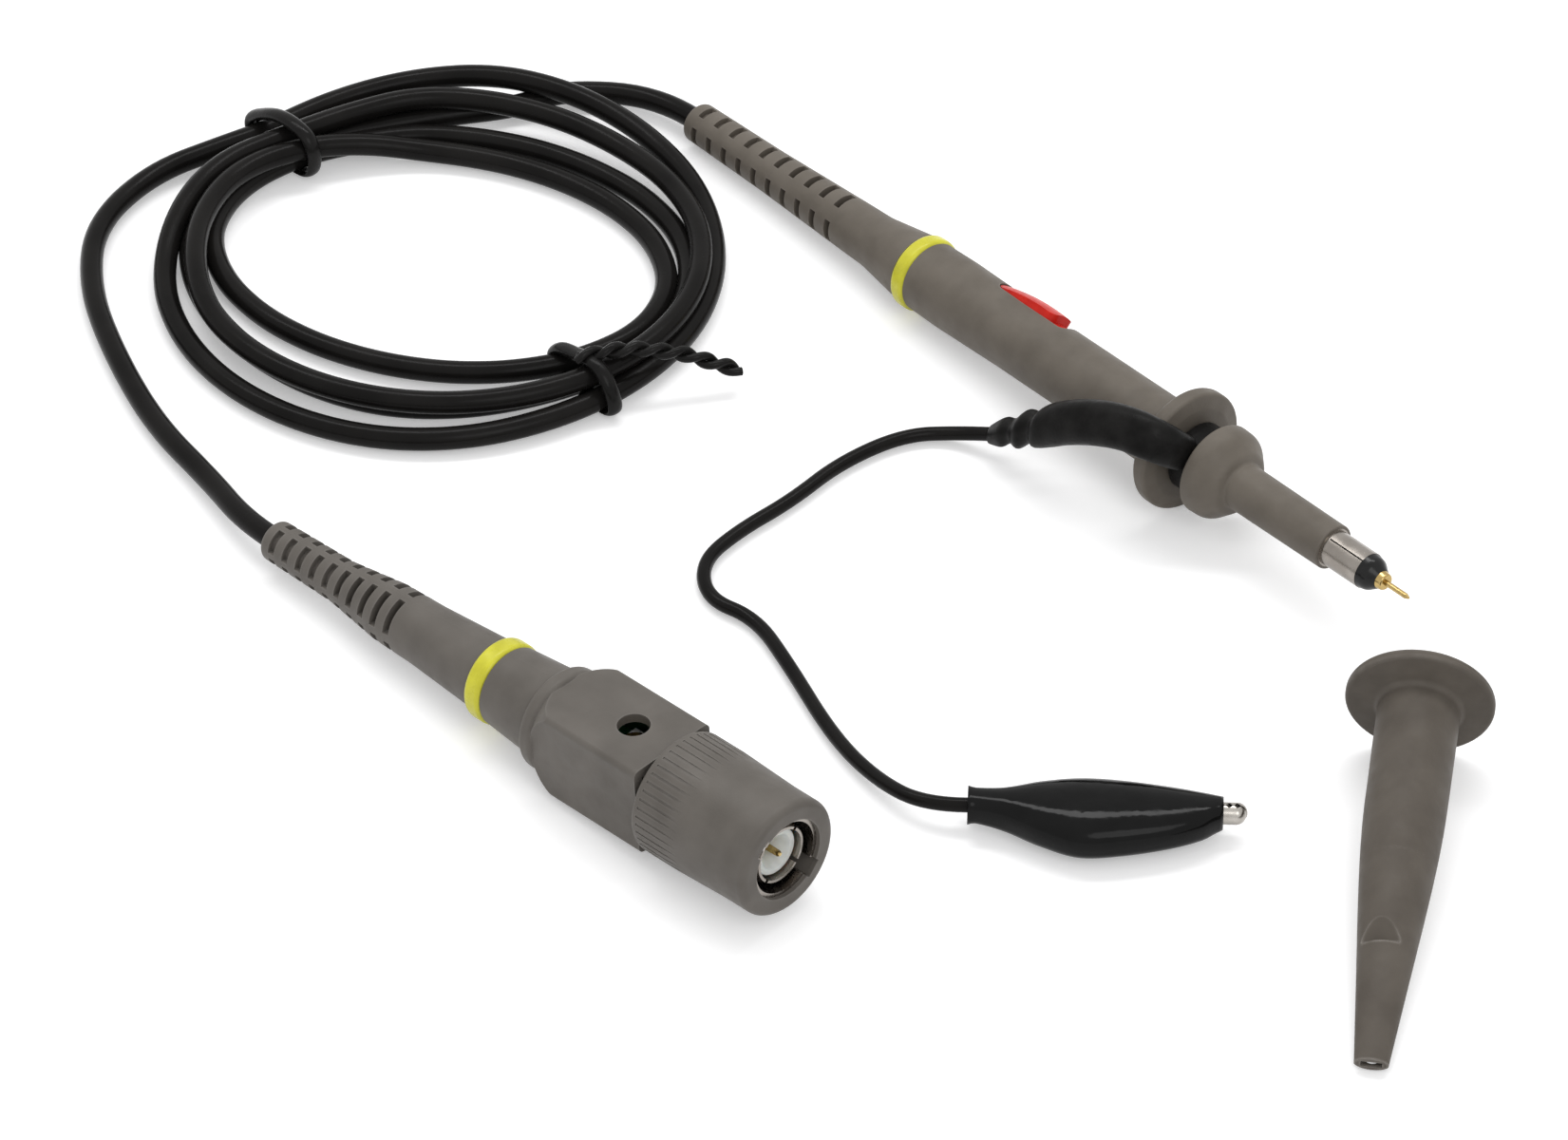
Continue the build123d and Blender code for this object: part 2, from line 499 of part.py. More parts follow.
def bnc_body():
    """The plug's metal core: the plate that closes the box, the grooved shank and the slit contact."""
    inner = CONTACT_R - CONTACT_WALL
    half = CAVITY - SEAT
    plate = block((PLATE_X, BOX_END_X), (-half, half), (-half, half))
    root_x = CONTACT_X + CONTACT_ROOT_L
    groove_end = GROOVE_X + GROOVE_W
    shank = turned(
        (BOX_END_X - 1, 0), (CONTACT_END_X, 0), (CONTACT_END_X, CONTACT_R - 0.3),
        (CONTACT_END_X - 0.5, CONTACT_R), (root_x, CONTACT_R), (root_x, CONTACT_ROOT_R),
        (CONTACT_X, CONTACT_ROOT_R), (CONTACT_X, SHANK_R), (groove_end, SHANK_R), (groove_end, GROOVE_R),
        (GROOVE_X, GROOVE_R), (GROOVE_X, SHANK_R), (BOX_END_X - 1, SHANK_R),
    )
    slit_x = CONTACT_X + CONTACT_SLIT_IN
    slit = block((slit_x, PLUG_END_X), (-CONTACT_SLIT / 2, CONTACT_SLIT / 2), (0, CONTACT_R + 1))
    slits = [Rot(45 + 90 * i, 0, 0) * slit for i in range(4)]
    wire_way = rod(PLATE_X - 1, PLUG_END_X, 1.2)
    return plate + shank - rod(PLATE_X + 1, PLUG_END_X, inner) - wire_way - slits


def bnc_dielectric():
    bore = PIN_R + SEAT
    """The white sleeve round the pin: a dished face, and slimmer where the contact's fingers bend."""
    outer = CONTACT_R - CONTACT_WALL - SEAT
    slim = outer - 0.2
    face = CONTACT_END_X - 0.6
    slit_x = CONTACT_X + CONTACT_SLIT_IN
    return turned(
        (PLATE_X + 1, bore), (face - 5, bore), (face - 5, 1.0), (face - 1, 1.0), (face, 2.2), (face, slim),
        (slit_x, slim), (slit_x, outer), (PLATE_X + 1, outer),
    )


def bnc_centre_pin():
    end = PLUG_END_X - PIN_SETBACK
    return turned((PLATE_X - 0.2, 0), (end, 0), (end, PIN_R, 0.5), (PLATE_X - 0.2, PIN_R))


def retaining_ring():
    gap = block((GROOVE_X, GROOVE_X + GROOVE_W), (-RING_GAP / 2, RING_GAP / 2), (0, BUSH_R))
    return tube(GROOVE_X + RUN, GROOVE_X + GROOVE_W - RUN, GROOVE_R + RUN, BUSH_BORE_R - 0.1) - gap


def bayonet_slot():
    """The cutter for one slot: straight in, round the ramp, and back into its seat."""
    half = BAYONET_SLOT_W / 2
    drill = Pos(0, 0, BUSH_R) * Cylinder(half, 4)
    start = MOUTH_X - BAYONET_LEAD_IN
    entry = block((start, MOUTH_X + 1), (-half, half), (BUSH_BORE_R - 1, BUSH_R + 1))
    steps = 9
    ramp = [
        Rot(BAYONET_TURN * i / steps, 0, 0) * Pos(start - BAYONET_RISE * i / steps, 0, 0) * drill
        for i in range(steps + 1)
    ]
    seat = Rot(BAYONET_TURN + 2, 0, 0) * Pos(start - BAYONET_RISE + 0.6, 0, 0) * drill
    return [entry, seat] + ramp


def bayonet_bush():
    """The metal bush that turns on the shank behind its lip, cut by two bayonet slots."""
    neck = SHANK_R + RUN
    lip_x = BUSH_REAR_X + BUSH_LIP
    shell = turned(
        (BUSH_REAR_X, neck), (lip_x, neck), (lip_x, BUSH_BORE_R), (MOUTH_X, BUSH_BORE_R), (MOUTH_X, BUSH_R),
        (BUSH_REAR_X, BUSH_R),
    )
    return shell - bayonet_slot() - [Rot(180, 0, 0) * cutter for cutter in bayonet_slot()]


def bnc_collar():
    """The ribbed grip pressed over the bush, with two notches that show where the slots start."""
    bore = BUSH_R + SEAT
    shell = turned(
        (COUPLING_X, bore), (MOUTH_X, bore), (MOUTH_X, COUPLING_MOUTH_R), (PLUG_END_X, COUPLING_MOUTH_R),
        (PLUG_END_X, COUPLING_FACE_R, 1.0), (PLUG_END_X - COUPLING_TAPER, COUPLING_FACE_R, 6),
        (COUPLING_X + COUPLING_STRAIGHT, COUPLING_R, 8), (COUPLING_X, COUPLING_R, 0.5),
    )
    knurl_x = COUPLING_X + KNURL_IN
    knurl_floor = COUPLING_R - KNURL_DEPTH
    rib_gap = block((knurl_x, knurl_x + KNURL_L), (-KNURL_W / 2, KNURL_W / 2), (knurl_floor, COUPLING_R + 1))
    knurl = [Rot(360 * i / KNURL_COUNT, 0, 0) * rib_gap for i in range(KNURL_COUNT)]
    reach = COUPLING_MOUTH_R + NOTCH_DEPTH
    notch = block((MOUTH_X - NOTCH_L, PLUG_END_X + 1), (-NOTCH_W / 2, NOTCH_W / 2), (-reach, reach))
    return shell - knurl - notch


save(
    BOX,
    box_strain_relief=box_strain_relief(),
    box_marker_ring=marker_ring(BOX_MARKER_X, BOX_MARKER_W, SPIGOT_R + SEAT, BOX_MARKER_R),
    comp_box_cover=comp_box_cover(),
    box_frame=box_frame(),
    comp_board=comp_board(),
    trimmer_body=trimmer_body(),
    trimmer_screw=trimmer_screw(),
    box_cable_end=rod(0, BOX_CORE_END, COAX_R),
    box_crimp_ferrule=tube(BOX_CORE_END - FERRULE_L, BOX_CORE_END, COAX_R + SEAT, FERRULE_R),
    bnc_body=bnc_body(),
    bnc_dielectric=bnc_dielectric(),
    bnc_centre_pin=bnc_centre_pin(),
    bnc_gasket=tube(CONTACT_X, CONTACT_X + GASKET_T, CONTACT_ROOT_R + SEAT, BUSH_BORE_R - GAP),
    spring_washer=tube(WASHER_X, WASHER_X + WASHER_T, SHANK_R + 0.1, BUSH_R - 0.3),
    retaining_ring=retaining_ring(),
)
save(COUPLING, bayonet_bush=bayonet_bush(), bnc_collar=bnc_collar())


# ---- hook tip --------------------------------------------------------------------------------------
HOOK = laid(HOOK_AT, HOOK_YAW, 0, (HOOK_L, HOOK_SECTIONS[-1][2]), (HOOK_FLANGE_W, HOOK_FLANGE_R))
SPAN = HOOK_SPAN / 2


def hook_sleeve():
    """The outer sleeve with its finger flange, thinning to a flat oval tip with two holes."""
    root = turned(
        (0, 0), (HOOK_ROOT_X, 0), (HOOK_ROOT_X, HOOK_ROOT_R), (HOOK_FLANGE_W + 0.9, HOOK_ROOT_R + 0.1, 0.8),
        (HOOK_FLANGE_W, HOOK_FLANGE_R, 0.5), (0, HOOK_FLANGE_R, 0.5),
    )
    ovals = [oval(*station) for station in HOOK_SECTIONS]
    taper = loft([oval(HOOK_ROOT_X, HOOK_ROOT_R, HOOK_ROOT_R)] + ovals)
    room = PLUNGER_TRAVEL + 2 * GAP
    spring_bore = HOOK_SPRING_R + HOOK_SPRING_WIRE_R + GAP
    first, second, third = CORE_X + CORE_L + room, CORE_NECK_X + room, CORE_END_X + room
    bore = turned(
        (-1, 0), (HOOK_SPRING_X, 0), (HOOK_SPRING_X, spring_bore), (third, spring_bore),
        (third, CORE_TIP_R + RUN), (second, CORE_TIP_R + RUN), (second, CORE_NECK_R + RUN),
        (first, CORE_NECK_R + RUN), (first, CORE_R + RUN), (-1, CORE_R + RUN),
    )
    wire_way = HOOK_WIRE_R + GAP
    side_way = SPAN + wire_way
    slot = block((HOOK_SPRING_X - 1, HOOK_L - 1.6), (-side_way, side_way), (-wire_way, wire_way))
    bend_way = HOOK_WIRE_R + 0.1
    mouth = block((HOOK_L - 1.2, HOOK_L + 1), (-SPAN - bend_way, SPAN + bend_way), (-bend_way, bend_way))
    holes = [Pos(0, side * SPAN, 0) * rod(HOOK_L - 2, HOOK_L + 1, bend_way) for side in (-1, 1)]
    return root + taper - bore - slot - mouth - holes - thumb_notch()


def thumb_notch():
    """The cutter for the thumbnail catch: a floor that slopes in and ends at a straight lip."""
    surface = HOOK_SECTIONS[1][2] - 0.12 * (THUMB_X - HOOK_SECTIONS[1][0])
    x0, low = THUMB_X - THUMB_L, surface - THUMB_DEPTH
    outline = Polyline(
        (x0, surface + 0.4), (THUMB_X - 0.3, low), (THUMB_X, low), (THUMB_X + 0.25, 9), (x0, 9), close=True
    )
    return Rot(THUMB_ROLL, 0, 0) * extrude(make_face(Plane.XZ * outline), 9, both=True)


def hook_core():
    """The tube that grips the probe's nose: a stepped socket down to the needle's contact."""
    shield_bore = SHIELD_R + 2 * SEAT
    wire_bore = HOOK_WIRE_R + SEAT
    floor_x = CORE_END_X - CORE_WALL
    step_x = CORE_X + CORE_L
    return turned(
        (CORE_X, SOCKET_R), (SOCKET_X, SOCKET_R), (SOCKET_X, shield_bore), (SHIELD_SOCKET_X, shield_bore),
        (SHIELD_SOCKET_X, DOME_SOCKET_R), (DOME_SOCKET_X, DOME_SOCKET_R), (DOME_SOCKET_X, CUP_R),
        (floor_x, CUP_R), (floor_x, wire_bore), (CORE_END_X, wire_bore), (CORE_END_X, CORE_TIP_R),
        (CORE_NECK_X, CORE_TIP_R), (CORE_NECK_X, CORE_NECK_R), (step_x, CORE_NECK_R), (step_x, CORE_R),
        (CORE_X, CORE_R, 0.3),
    )


def hook_contact():
    """The cup that meets the needle, with the hook's wire soldered in its floor."""
    outer = CUP_R - SEAT
    end = DOME_SOCKET_X + CUP_L
    cup = turned(
        (DOME_SOCKET_X, CUP_BORE_R), (end - 1.1, CUP_BORE_R), (end - 1.1, 0), (end, 0), (end, outer),
        (DOME_SOCKET_X, outer),
    )
    return cup - rod(end - 0.7, end + 1, HOOK_WIRE_R + SEAT)


def hook_wire():
    """The sprung hook: straight from the contact, offset to one hole and bent back to the other."""
    bend_x = HOOK_L - 0.15 - HOOK_WIRE_R
    start = (DOME_SOCKET_X + CUP_L - 0.7, 0, 0)
    step_x = HOOK_SPRING_X + WIRE_STEP_IN
    path = FilletPolyline(
        start, (step_x, 0, 0), (step_x + WIRE_STEP_L, SPAN, 0), (bend_x, SPAN, 0),
        (bend_x, -SPAN, 0), (bend_x - 1.6, -SPAN, 0), radius=[3, 3, SPAN - RUN, SPAN - RUN],
    )
    return sweep(Plane(start, z_dir=(1, 0, 0)) * Circle(HOOK_WIRE_R), path=path)


save(
    HOOK,
    hook_sleeve=hook_sleeve(),
    hook_core=hook_core(),
    hook_contact=hook_contact(),
    hook_wire=hook_wire(),
    hook_spring=coil_spring(
        CORE_END_X + 0.25, HOOK_SPRING_X - 0.25, HOOK_SPRING_R, HOOK_SPRING_WIRE_R, HOOK_SPRING_TURNS
    ),
)


# ---- ground clamp on the probe ---------------------------------------------------------------------
def ground_clamp_ring():
    """The open spring ring that turns in the groove behind the nose."""
    x0 = FLANGE_FRONT + (COLLAR_L - CLAMP_W) / 2
    x1 = x0 + CLAMP_W
    inner = COLLAR_R + RUN
    outer = inner + CLAMP_WALL
    mouth = sector(x0 - 1, x1 + 1, inner - 1, outer + 1, CLAMP_MOUTH / 2, CLAMP_ANGLE + 180)
    return tube(x0, x1, inner, outer) - mouth


def radial(x, radius, angle):
    return Vector(x, -radius * math.sin(math.radians(angle)), radius * math.cos(math.radians(angle)))


def moulded(centre, along, tall, thick, tilt):
    """One cross-section of the clamp's moulding; tilt is where its broad face points."""
    across = along.cross(radial(0, 1, tilt))
    plane = Plane(origin=centre, x_dir=across, z_dir=along)
    return plane * RectangleRounded(tall, thick, 1.3)


def clamp_beads(length):
    """The clamp's strain relief: three beads, each smaller than the last."""
    pitch = length / len(BEAD_RADII)
    corners = [(0, 0), (length, 0), (length, LEAD_R + 0.3)]
    for i in reversed(range(len(BEAD_RADII))):
        start, crown = i * pitch, BEAD_RADII[i]
        corners += [(start + 0.82 * pitch, crown, 0.9), (start + 0.22 * pitch, crown, 0.9)]
        corners += [(start + 0.02 * pitch, BEAD_NECKS[i])]
    return turned(*corners)


def ground_clamp_boot(end):
    """Black moulding: up out of the groove, over the flange, back beside the barrel, and three beads."""
    middle = FLANGE_FRONT + COLLAR_L / 2
    groove = radial(middle, COLLAR_R + RUN + CLAMP_WALL, CLAMP_ANGLE)
    neck = Plane(origin=groove, x_dir=(1, 0, 0), z_dir=radial(0, 1, CLAMP_ANGLE))
    root = extrude(neck * RectangleRounded(COLLAR_L - 2 * CLAMP_SIDE_GAP, CLAMP_NECK_W, 0.5), CLAMP_NECK_H)
    front = radial(middle + 1.2, CLAMP_BLOCK_R - 0.5, CLAMP_ANGLE)
    bend = radial(FLANGE_X - 0.5, CLAMP_BLOCK_R + 0.2, CLAMP_ANGLE + 5)
    over, back = bend - front, end - bend
    body = loft([
        moulded(front, over, 5.2, 2.8, CLAMP_ANGLE),
        moulded(front + over * 0.45, over, 5.5, 3.8, CLAMP_ANGLE + 2),
        moulded(bend, over.normalized() + back.normalized(), 6.0, 4.4, CLAMP_ANGLE + 5),
        moulded(bend + back * 0.22, back, 6.4, 4.8, CLAMP_ANGLE + 10),
        moulded(bend + back * 0.42, back, 6.6, 5.0, CLAMP_ANGLE + 14),
    ])
    start = bend + back * 0.41
    beads = Plane(origin=start, z_dir=back) * Rot(0, -90, 0) * clamp_beads((end - start).length - GAP)
    return root + body + beads


# ---- alligator clip, lying on its side -------------------------------------------------------------
CLIP = Pos(CLIP_AT[0], CLIP_AT[1], CLIP_BOOT_HALF_H + RUN) * Rot(0, 0, CLIP_YAW)
CLIP_BOOT_SECTIONS = (
    # x, near side, far side, half height
    (0.0, -1.9, 1.9, 1.95),
    (4.5, -2.2, 1.8, 2.15),
    (9.0, -3.9, 2.3, 2.8),
    (13.5, -6.2, 2.9, CLIP_BOOT_HALF_H),
    (19.0, -5.4, 2.8, 3.05),
    (25.0, -3.6, 2.2, 2.6),
    (CLIP_BOOT_L, -2.0, 2.0, 2.05),
)


def plate(points, reach):
    """A flat outline in the clip's plane, thickened to each side of it."""
    return Pos(0, 0, -reach) * extrude(make_face(Polyline(*points, close=True)), 2 * reach)


def clip_boot_at(x):
    """The boot's near side, far side and half height at x, eased from station to station."""
    stations = CLIP_BOOT_SECTIONS
    i = max(i for i in range(len(stations) - 1) if stations[i][0] <= x)
    start, end = stations[i], stations[i + 1]
    before, after = stations[max(i - 1, 0)], stations[min(i + 2, len(stations) - 1)]
    step = end[0] - start[0]
    t = (x - start[0]) / step
    values = []
    for a, b, p, n in zip(start[1:], end[1:], before[1:], after[1:]):
        slope_a = (b - p) / (end[0] - before[0]) * step
        slope_b = (n - a) / (after[0] - start[0]) * step
        values.append(
            a * (2 * t**3 - 3 * t**2 + 1) + slope_a * (t**3 - 2 * t**2 + t)
            + b * (3 * t**2 - 2 * t**3) + slope_b * (t**3 - t**2)
        )
    return values


def clip_boot():
    """The soft insulating boot, hollow for the jaws and open at both ends."""
    def skin(inset):
        rings = []
        for i in range(CLIP_BOOT_STEPS + 1):
            x = CLIP_BOOT_L * i / CLIP_BOOT_STEPS
            near, far, half = clip_boot_at(x)
            half_y, middle = (far - near) / 2, (far + near) / 2
            rings.append(section(x, half_y - inset, half - inset, 0.6 * half - inset, middle))
        return loft(rings)
    return skin(0) - skin(CLIP_BOOT_WALL)


def teeth(side):
    first = CLIP_L - 0.8 - TOOTH_COUNT * TOOTH_PITCH
    return [
        plate([(x, 0), (x + TOOTH_PITCH / 2, side * TOOTH_DEPTH), (x + TOOTH_PITCH, 0)], 9)
        for x in (first + TOOTH_PITCH * i for i in range(TOOTH_COUNT))
    ]


def pivot_hole():
    return Pos(PIVOT_X, PIVOT_Y, 0) * Cylinder(PIVOT_R + RUN, 9)


def nose_half(side, length):
    """Half of the round toothed nose that the two jaws make together, domed at its end."""
    inner = NOSE_TUBE_R - JAW_SHEET
    nose = turned(
        (NOSE_TUBE_X, inner), (length - 1.2, inner), (length - JAW_SHEET, 0.3), (length - JAW_SHEET, 0),
        (length, 0), (length, NOSE_TUBE_R, NOSE_TUBE_DOME), (NOSE_TUBE_X, NOSE_TUBE_R),
    )
    reach = NOSE_TUBE_R + 1
    across = sorted((side * JAW_GAP / 2, side * reach))
    return nose & block((NOSE_TUBE_X - 1, length + 1), across, (-reach, reach))


def clip_fixed_jaw():
    """The straight jaw: a folded channel with ears for the rivet and a toothed nose."""
    split = JAW_GAP / 2
    joint = NOSE_TUBE_X + 1
    outside = [
        (5.5, JAW_BACK), (5.5, -0.9), (15.5, -0.9), (17.4, -1.8), (20.6, -1.8), (22.6, split), (joint, split),
        (joint, JAW_BACK),
    ]
    back = JAW_BACK - JAW_SHEET
    inside = [(5, back), (5, -9), (joint + 1, -9), (joint + 1, back)]
    wire_end = rod(5.5, 9, JAW_HALF_W - JAW_SHEET - SEAT)
    channel = plate(outside, JAW_HALF_W) - plate(inside, JAW_HALF_W - JAW_SHEET)
    return channel + wire_end + (nose_half(1, CLIP_L) - teeth(1)) - pivot_hole()


def clip_lever_jaw():
    """The moving jaw: a toothed nose, ears inside the fixed jaw's, and a bent thumb pad."""
    joint = NOSE_TUBE_X + 0.8
    low = -NOSE_TUBE_R + 0.15
    cheeks = plate(
        [(17.6, 0.1), (20.8, 0.1), (23.2, -0.25), (joint, -0.25), (joint, low), (20, -2.2), (17.2, -2.4)],
        EAR_HALF_W,
    )
    web = plate([(17, 0.8), (23.0, 0.8), (23.0, -0.8), (20, -1.7), (17, -1.9)], EAR_HALF_W - 0.35)
    x0, y0 = PAD_TIP_X, PAD_TIP_Y
    y1 = y0 + JAW_SHEET
    pad = plate([(17.3, -1.9), (18, -2.4), (x0 + 1.8, y0), (x0, y0), (x0, y1), (x0 + 1.5, y1)], EAR_HALF_W)
    return (nose_half(-1, CLIP_L - 0.15) - teeth(-1)) + (cheeks - web) + pad - pivot_hole()


def clip_rivet():
    reach = JAW_HALF_W + 0.02
    heads = [Pos(PIVOT_X, PIVOT_Y, side * (reach + 0.15)) * Cylinder(0.95, 0.3) for side in (-1, 1)]
    return Pos(PIVOT_X, PIVOT_Y, 0) * Cylinder(PIVOT_R, 2 * reach) + heads


def clip_spring():
    """The torsion spring round the rivet, with a leg against each jaw."""
    turns, pitch, radius, wire_r = 2.5, 0.22, 0.85, 0.1
    helix = Helix(pitch=pitch, height=pitch * turns, radius=radius)
    coils = sweep(Plane(helix @ 0, z_dir=helix % 0) * Circle(wire_r), path=helix)
    legs = [
        Plane(helix @ end, z_dir=helix % end) * Pos(0, 0, sign * 0.4) * Cylinder(wire_r, 0.8)
        for end, sign in ((0, -1), (1, 1))
    ]
    return Pos(PIVOT_X, PIVOT_Y, -pitch * turns / 2) * (coils + legs)


save(
    CLIP,
    clip_boot=clip_boot(),
    clip_crimp=rod(0, 5.5, JAW_HALF_W - 0.05),
    clip_fixed_jaw=clip_fixed_jaw(),
    clip_lever_jaw=clip_lever_jaw(),
    clip_rivet=clip_rivet(),
    clip_spring=clip_spring(),
)


# ---- cables ----------------------------------------------------------------------------------------
COAX_TO_BOX = [
    (-64.3, -51.9, 3.7), (-69.8, -52.4, 3.4), (-80.3, -50.2, 2.2), (-94.4, -48.7, 1.6), (-109.6, -44.2, 1.6),
    (-122.7, -38.6, 1.6), (-132.9, -30.2, 1.6), (-137.0, -17.7, 1.6), (-134.6, -6.5, 2.6),
]
COAX_TO_PROBE = [(-96.5, 45.5, 2.8), (-104.6, 45.5, 2.3), (-115.0, 36.2, 4.2)]
GROUND_LEAD = [
    (-21.0, 32.4, 3.0), (-25.4, 31.0, 1.1), (-30.0, 25.2, 1.0), (-31.1, 15.0, 1.0), (-29.5, 5.5, 1.0),
    (-29.4, -3.5, 1.0), (-27.9, -11.0, 1.0), (-22.0, -15.0, 1.0), (-15.2, -12.6, 1.0), (-6.0, -15.0, 1.0),
    (8.0, -19.5, 1.0), (18.0, -21.0, 1.8), (26.3, -20.3, 3.1), (29.9, -16.4, 3.25),
]


def cord(name, points, radius):
    """A cable along straight runs joined by the largest arcs that the runs have room for."""
    runs = [Vector(*b) - Vector(*a) for a, b in zip(points, points[1:])]
    arcs = []
    for before, after in zip(runs, runs[1:]):
        room = 0.45 * min(before.length, after.length)
        arcs.append(room / math.tan(math.radians(before.get_angle(after)) / 2))
    path = FilletPolyline(*points, radius=arcs)
    tube_solid = sweep(Plane(points[0], z_dir=runs[0]) * Circle(radius), path=path)
    expected = math.pi * radius**2 * path.length
    print(name, "length", round(path.length, 1), "radii", [round(arc, 1) for arc in arcs])
    print(name, "volume over section x length", round(tube_solid.volume / expected, 4))
    return tube_solid


# ---- coil and its ties -----------------------------------------------------------------------------
COIL = Pos(COIL_AT[0], COIL_AT[1], 0) * Rot(0, 0, COIL_YAW)


def coax_coil():
    """The outer shape of four loose turns: a round bundle with an oval hole."""
    band = Circle(COIL_OUT_R) - Rot(0, 0, COIL_HOLE_TURN) * Ellipse(*COIL_HOLE)
    bundle = Pos(0, 0, COIL_LOW) * extrude(band, COIL_HIGH - COIL_LOW)
    rims = bundle.edges().filter_by(lambda edge: edge.bounding_box().size.Z < 0.01)
    return fillet(rims, COIL_EDGE)


def tie(angle):
    """A wire tie round the bundle: flat under it and full over it."""
    middle = (COIL_HIGH + COIL_LOW) / 2
    half_h = (COIL_HIGH - COIL_LOW) / 2
    plane = Plane(origin=(TIE_MID_R, TIE_W / 2, 0), x_dir=(1, 0, 0), z_dir=(0, -1, 0))
    low, high = COIL_LOW - TIE_UNDER_T, COIL_HIGH + 0.1 + TIE_T
    outside = Pos(0, (low + high) / 2) * RectangleRounded(2 * TIE_HALF + 2 * TIE_T, high - low, 2.8)
    inside = Pos(0, middle + 0.025) * RectangleRounded(2 * TIE_HALF, 2 * half_h + 0.15, 2.2)
    return Rot(0, 0, angle) * extrude(plane * (outside - inside), TIE_W)


def tie_tail():
    """The twisted ends of the near tie, lying over the bundle and down past its edge."""
    top = COIL_HIGH + TIE_TAIL_R
    points = [
        (TIE_MID_R, -0.5, top + 0.3), (TIE_MID_R + 4.5, 7.5, top), (TIE_MID_R + 8.5, 12.0, top - 1.4),
        (TIE_MID_R + 11.5, 15.5, COIL_HIGH / 2),
    ]
    path = FilletPolyline(*points, radius=[6, 3])
    start = Plane(points[0], z_dir=Vector(*points[1]) - Vector(*points[0]))
    return Rot(0, 0, TIE_NEAR) * sweep(start * Circle(TIE_TAIL_R), path=path)


save(COIL, coax_coil=coax_coil(), tie_far=tie(TIE_FAR), tie_near=tie(TIE_NEAR) + tie_tail())
save(
    Pos(0, 0, 0),
    coax_to_box=cord("coax_to_box", COAX_TO_BOX, COAX_R),
    coax_to_probe=cord("coax_to_probe", COAX_TO_PROBE, COAX_R),
    ground_lead=cord("ground_lead", GROUND_LEAD, LEAD_R),
)
tail_end = PROBE_LEVEL.inverse() * Pos(*GROUND_LEAD[0])
save(
    PROBE_LEVEL,
    ground_clamp_ring=ground_clamp_ring(),
    ground_clamp_boot=ground_clamp_boot(tail_end.position),
)
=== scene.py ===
import json
import math

import bmesh
import bpy
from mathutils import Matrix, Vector


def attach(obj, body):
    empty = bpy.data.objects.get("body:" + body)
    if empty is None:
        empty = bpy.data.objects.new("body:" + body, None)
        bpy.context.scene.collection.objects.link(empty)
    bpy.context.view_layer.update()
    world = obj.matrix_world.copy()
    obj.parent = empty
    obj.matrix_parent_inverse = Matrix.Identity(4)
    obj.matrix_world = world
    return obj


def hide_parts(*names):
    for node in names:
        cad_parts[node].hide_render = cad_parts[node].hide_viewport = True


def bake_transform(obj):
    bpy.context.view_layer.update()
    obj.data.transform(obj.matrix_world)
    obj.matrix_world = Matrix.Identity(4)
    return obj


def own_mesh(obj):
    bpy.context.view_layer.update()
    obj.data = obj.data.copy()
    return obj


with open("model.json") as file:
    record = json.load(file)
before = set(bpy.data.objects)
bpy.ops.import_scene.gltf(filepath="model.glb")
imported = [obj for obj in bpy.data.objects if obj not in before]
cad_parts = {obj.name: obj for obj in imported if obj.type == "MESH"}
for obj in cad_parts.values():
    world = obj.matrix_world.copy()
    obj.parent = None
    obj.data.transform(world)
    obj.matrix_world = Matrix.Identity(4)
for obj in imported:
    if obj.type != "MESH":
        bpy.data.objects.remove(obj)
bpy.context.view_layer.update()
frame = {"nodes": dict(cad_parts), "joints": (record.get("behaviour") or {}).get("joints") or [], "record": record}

# ---- Table, light and camera ------------------------------------------------------------------------
# The set lies on a white sweep under soft light from above, seen by a long lens from the front right.
AIM = (-0.0207, -0.0032, 0.0)
CAMERA_AZIMUTH, CAMERA_ELEVATION, CAMERA_DISTANCE = 49.7, 41.8, 0.951
LENS_MM, FILM_WIDTH_MM = 170.0, 36.0
TABLE_HALF_SIDE, TABLE_HEIGHT, TABLE_WHITE, TABLE_GLOW = 3.0, -0.0003, (0.86, 0.86, 0.865, 1), 0.30
# The room looks pure white, and lights the set a little less than that.
ROOM_SEEN, ROOM_LIGHT = 1.0, 0.75
# Each lamp's place, its width and depth in metres, and its power in watts.
LAMPS = (
    ("soft_box_above", (-0.35, 0.25, 1.0), 1.4, 0.22, 5.5),
    ("soft_box_front", (0.75, -0.25, 0.8), 0.6, 0.6, 2.0),
)


def place_camera():
    azimuth, elevation = math.radians(CAMERA_AZIMUTH), math.radians(CAMERA_ELEVATION)
    lens = bpy.data.cameras.new("long_lens")
    lens.lens = LENS_MM
    lens.sensor_width = FILM_WIDTH_MM
    lens.clip_start, lens.clip_end = 0.05, 10.0
    camera = bpy.data.objects.new("camera", lens)
    level = CAMERA_DISTANCE * math.cos(elevation)
    height = CAMERA_DISTANCE * math.sin(elevation)
    camera.location = (
        AIM[0] + level * math.sin(azimuth), AIM[1] - level * math.cos(azimuth), height,
    )
    camera.rotation_euler = (math.pi / 2 - elevation, 0, azimuth)
    bpy.context.collection.objects.link(camera)
    bpy.context.scene.camera = camera


def soft_lamp(name, place, width, depth, power):
    lamp = bpy.data.lights.new(name, "AREA")
    lamp.shape, lamp.size, lamp.size_y, lamp.energy = "ELLIPSE", width, depth, power
    lamp_object = bpy.data.objects.new(name, lamp)
    lamp_object.location = place
    lamp_object.rotation_euler = (Vector(AIM) - Vector(place)).to_track_quat("-Z", "Y").to_euler()
    bpy.context.collection.objects.link(lamp_object)


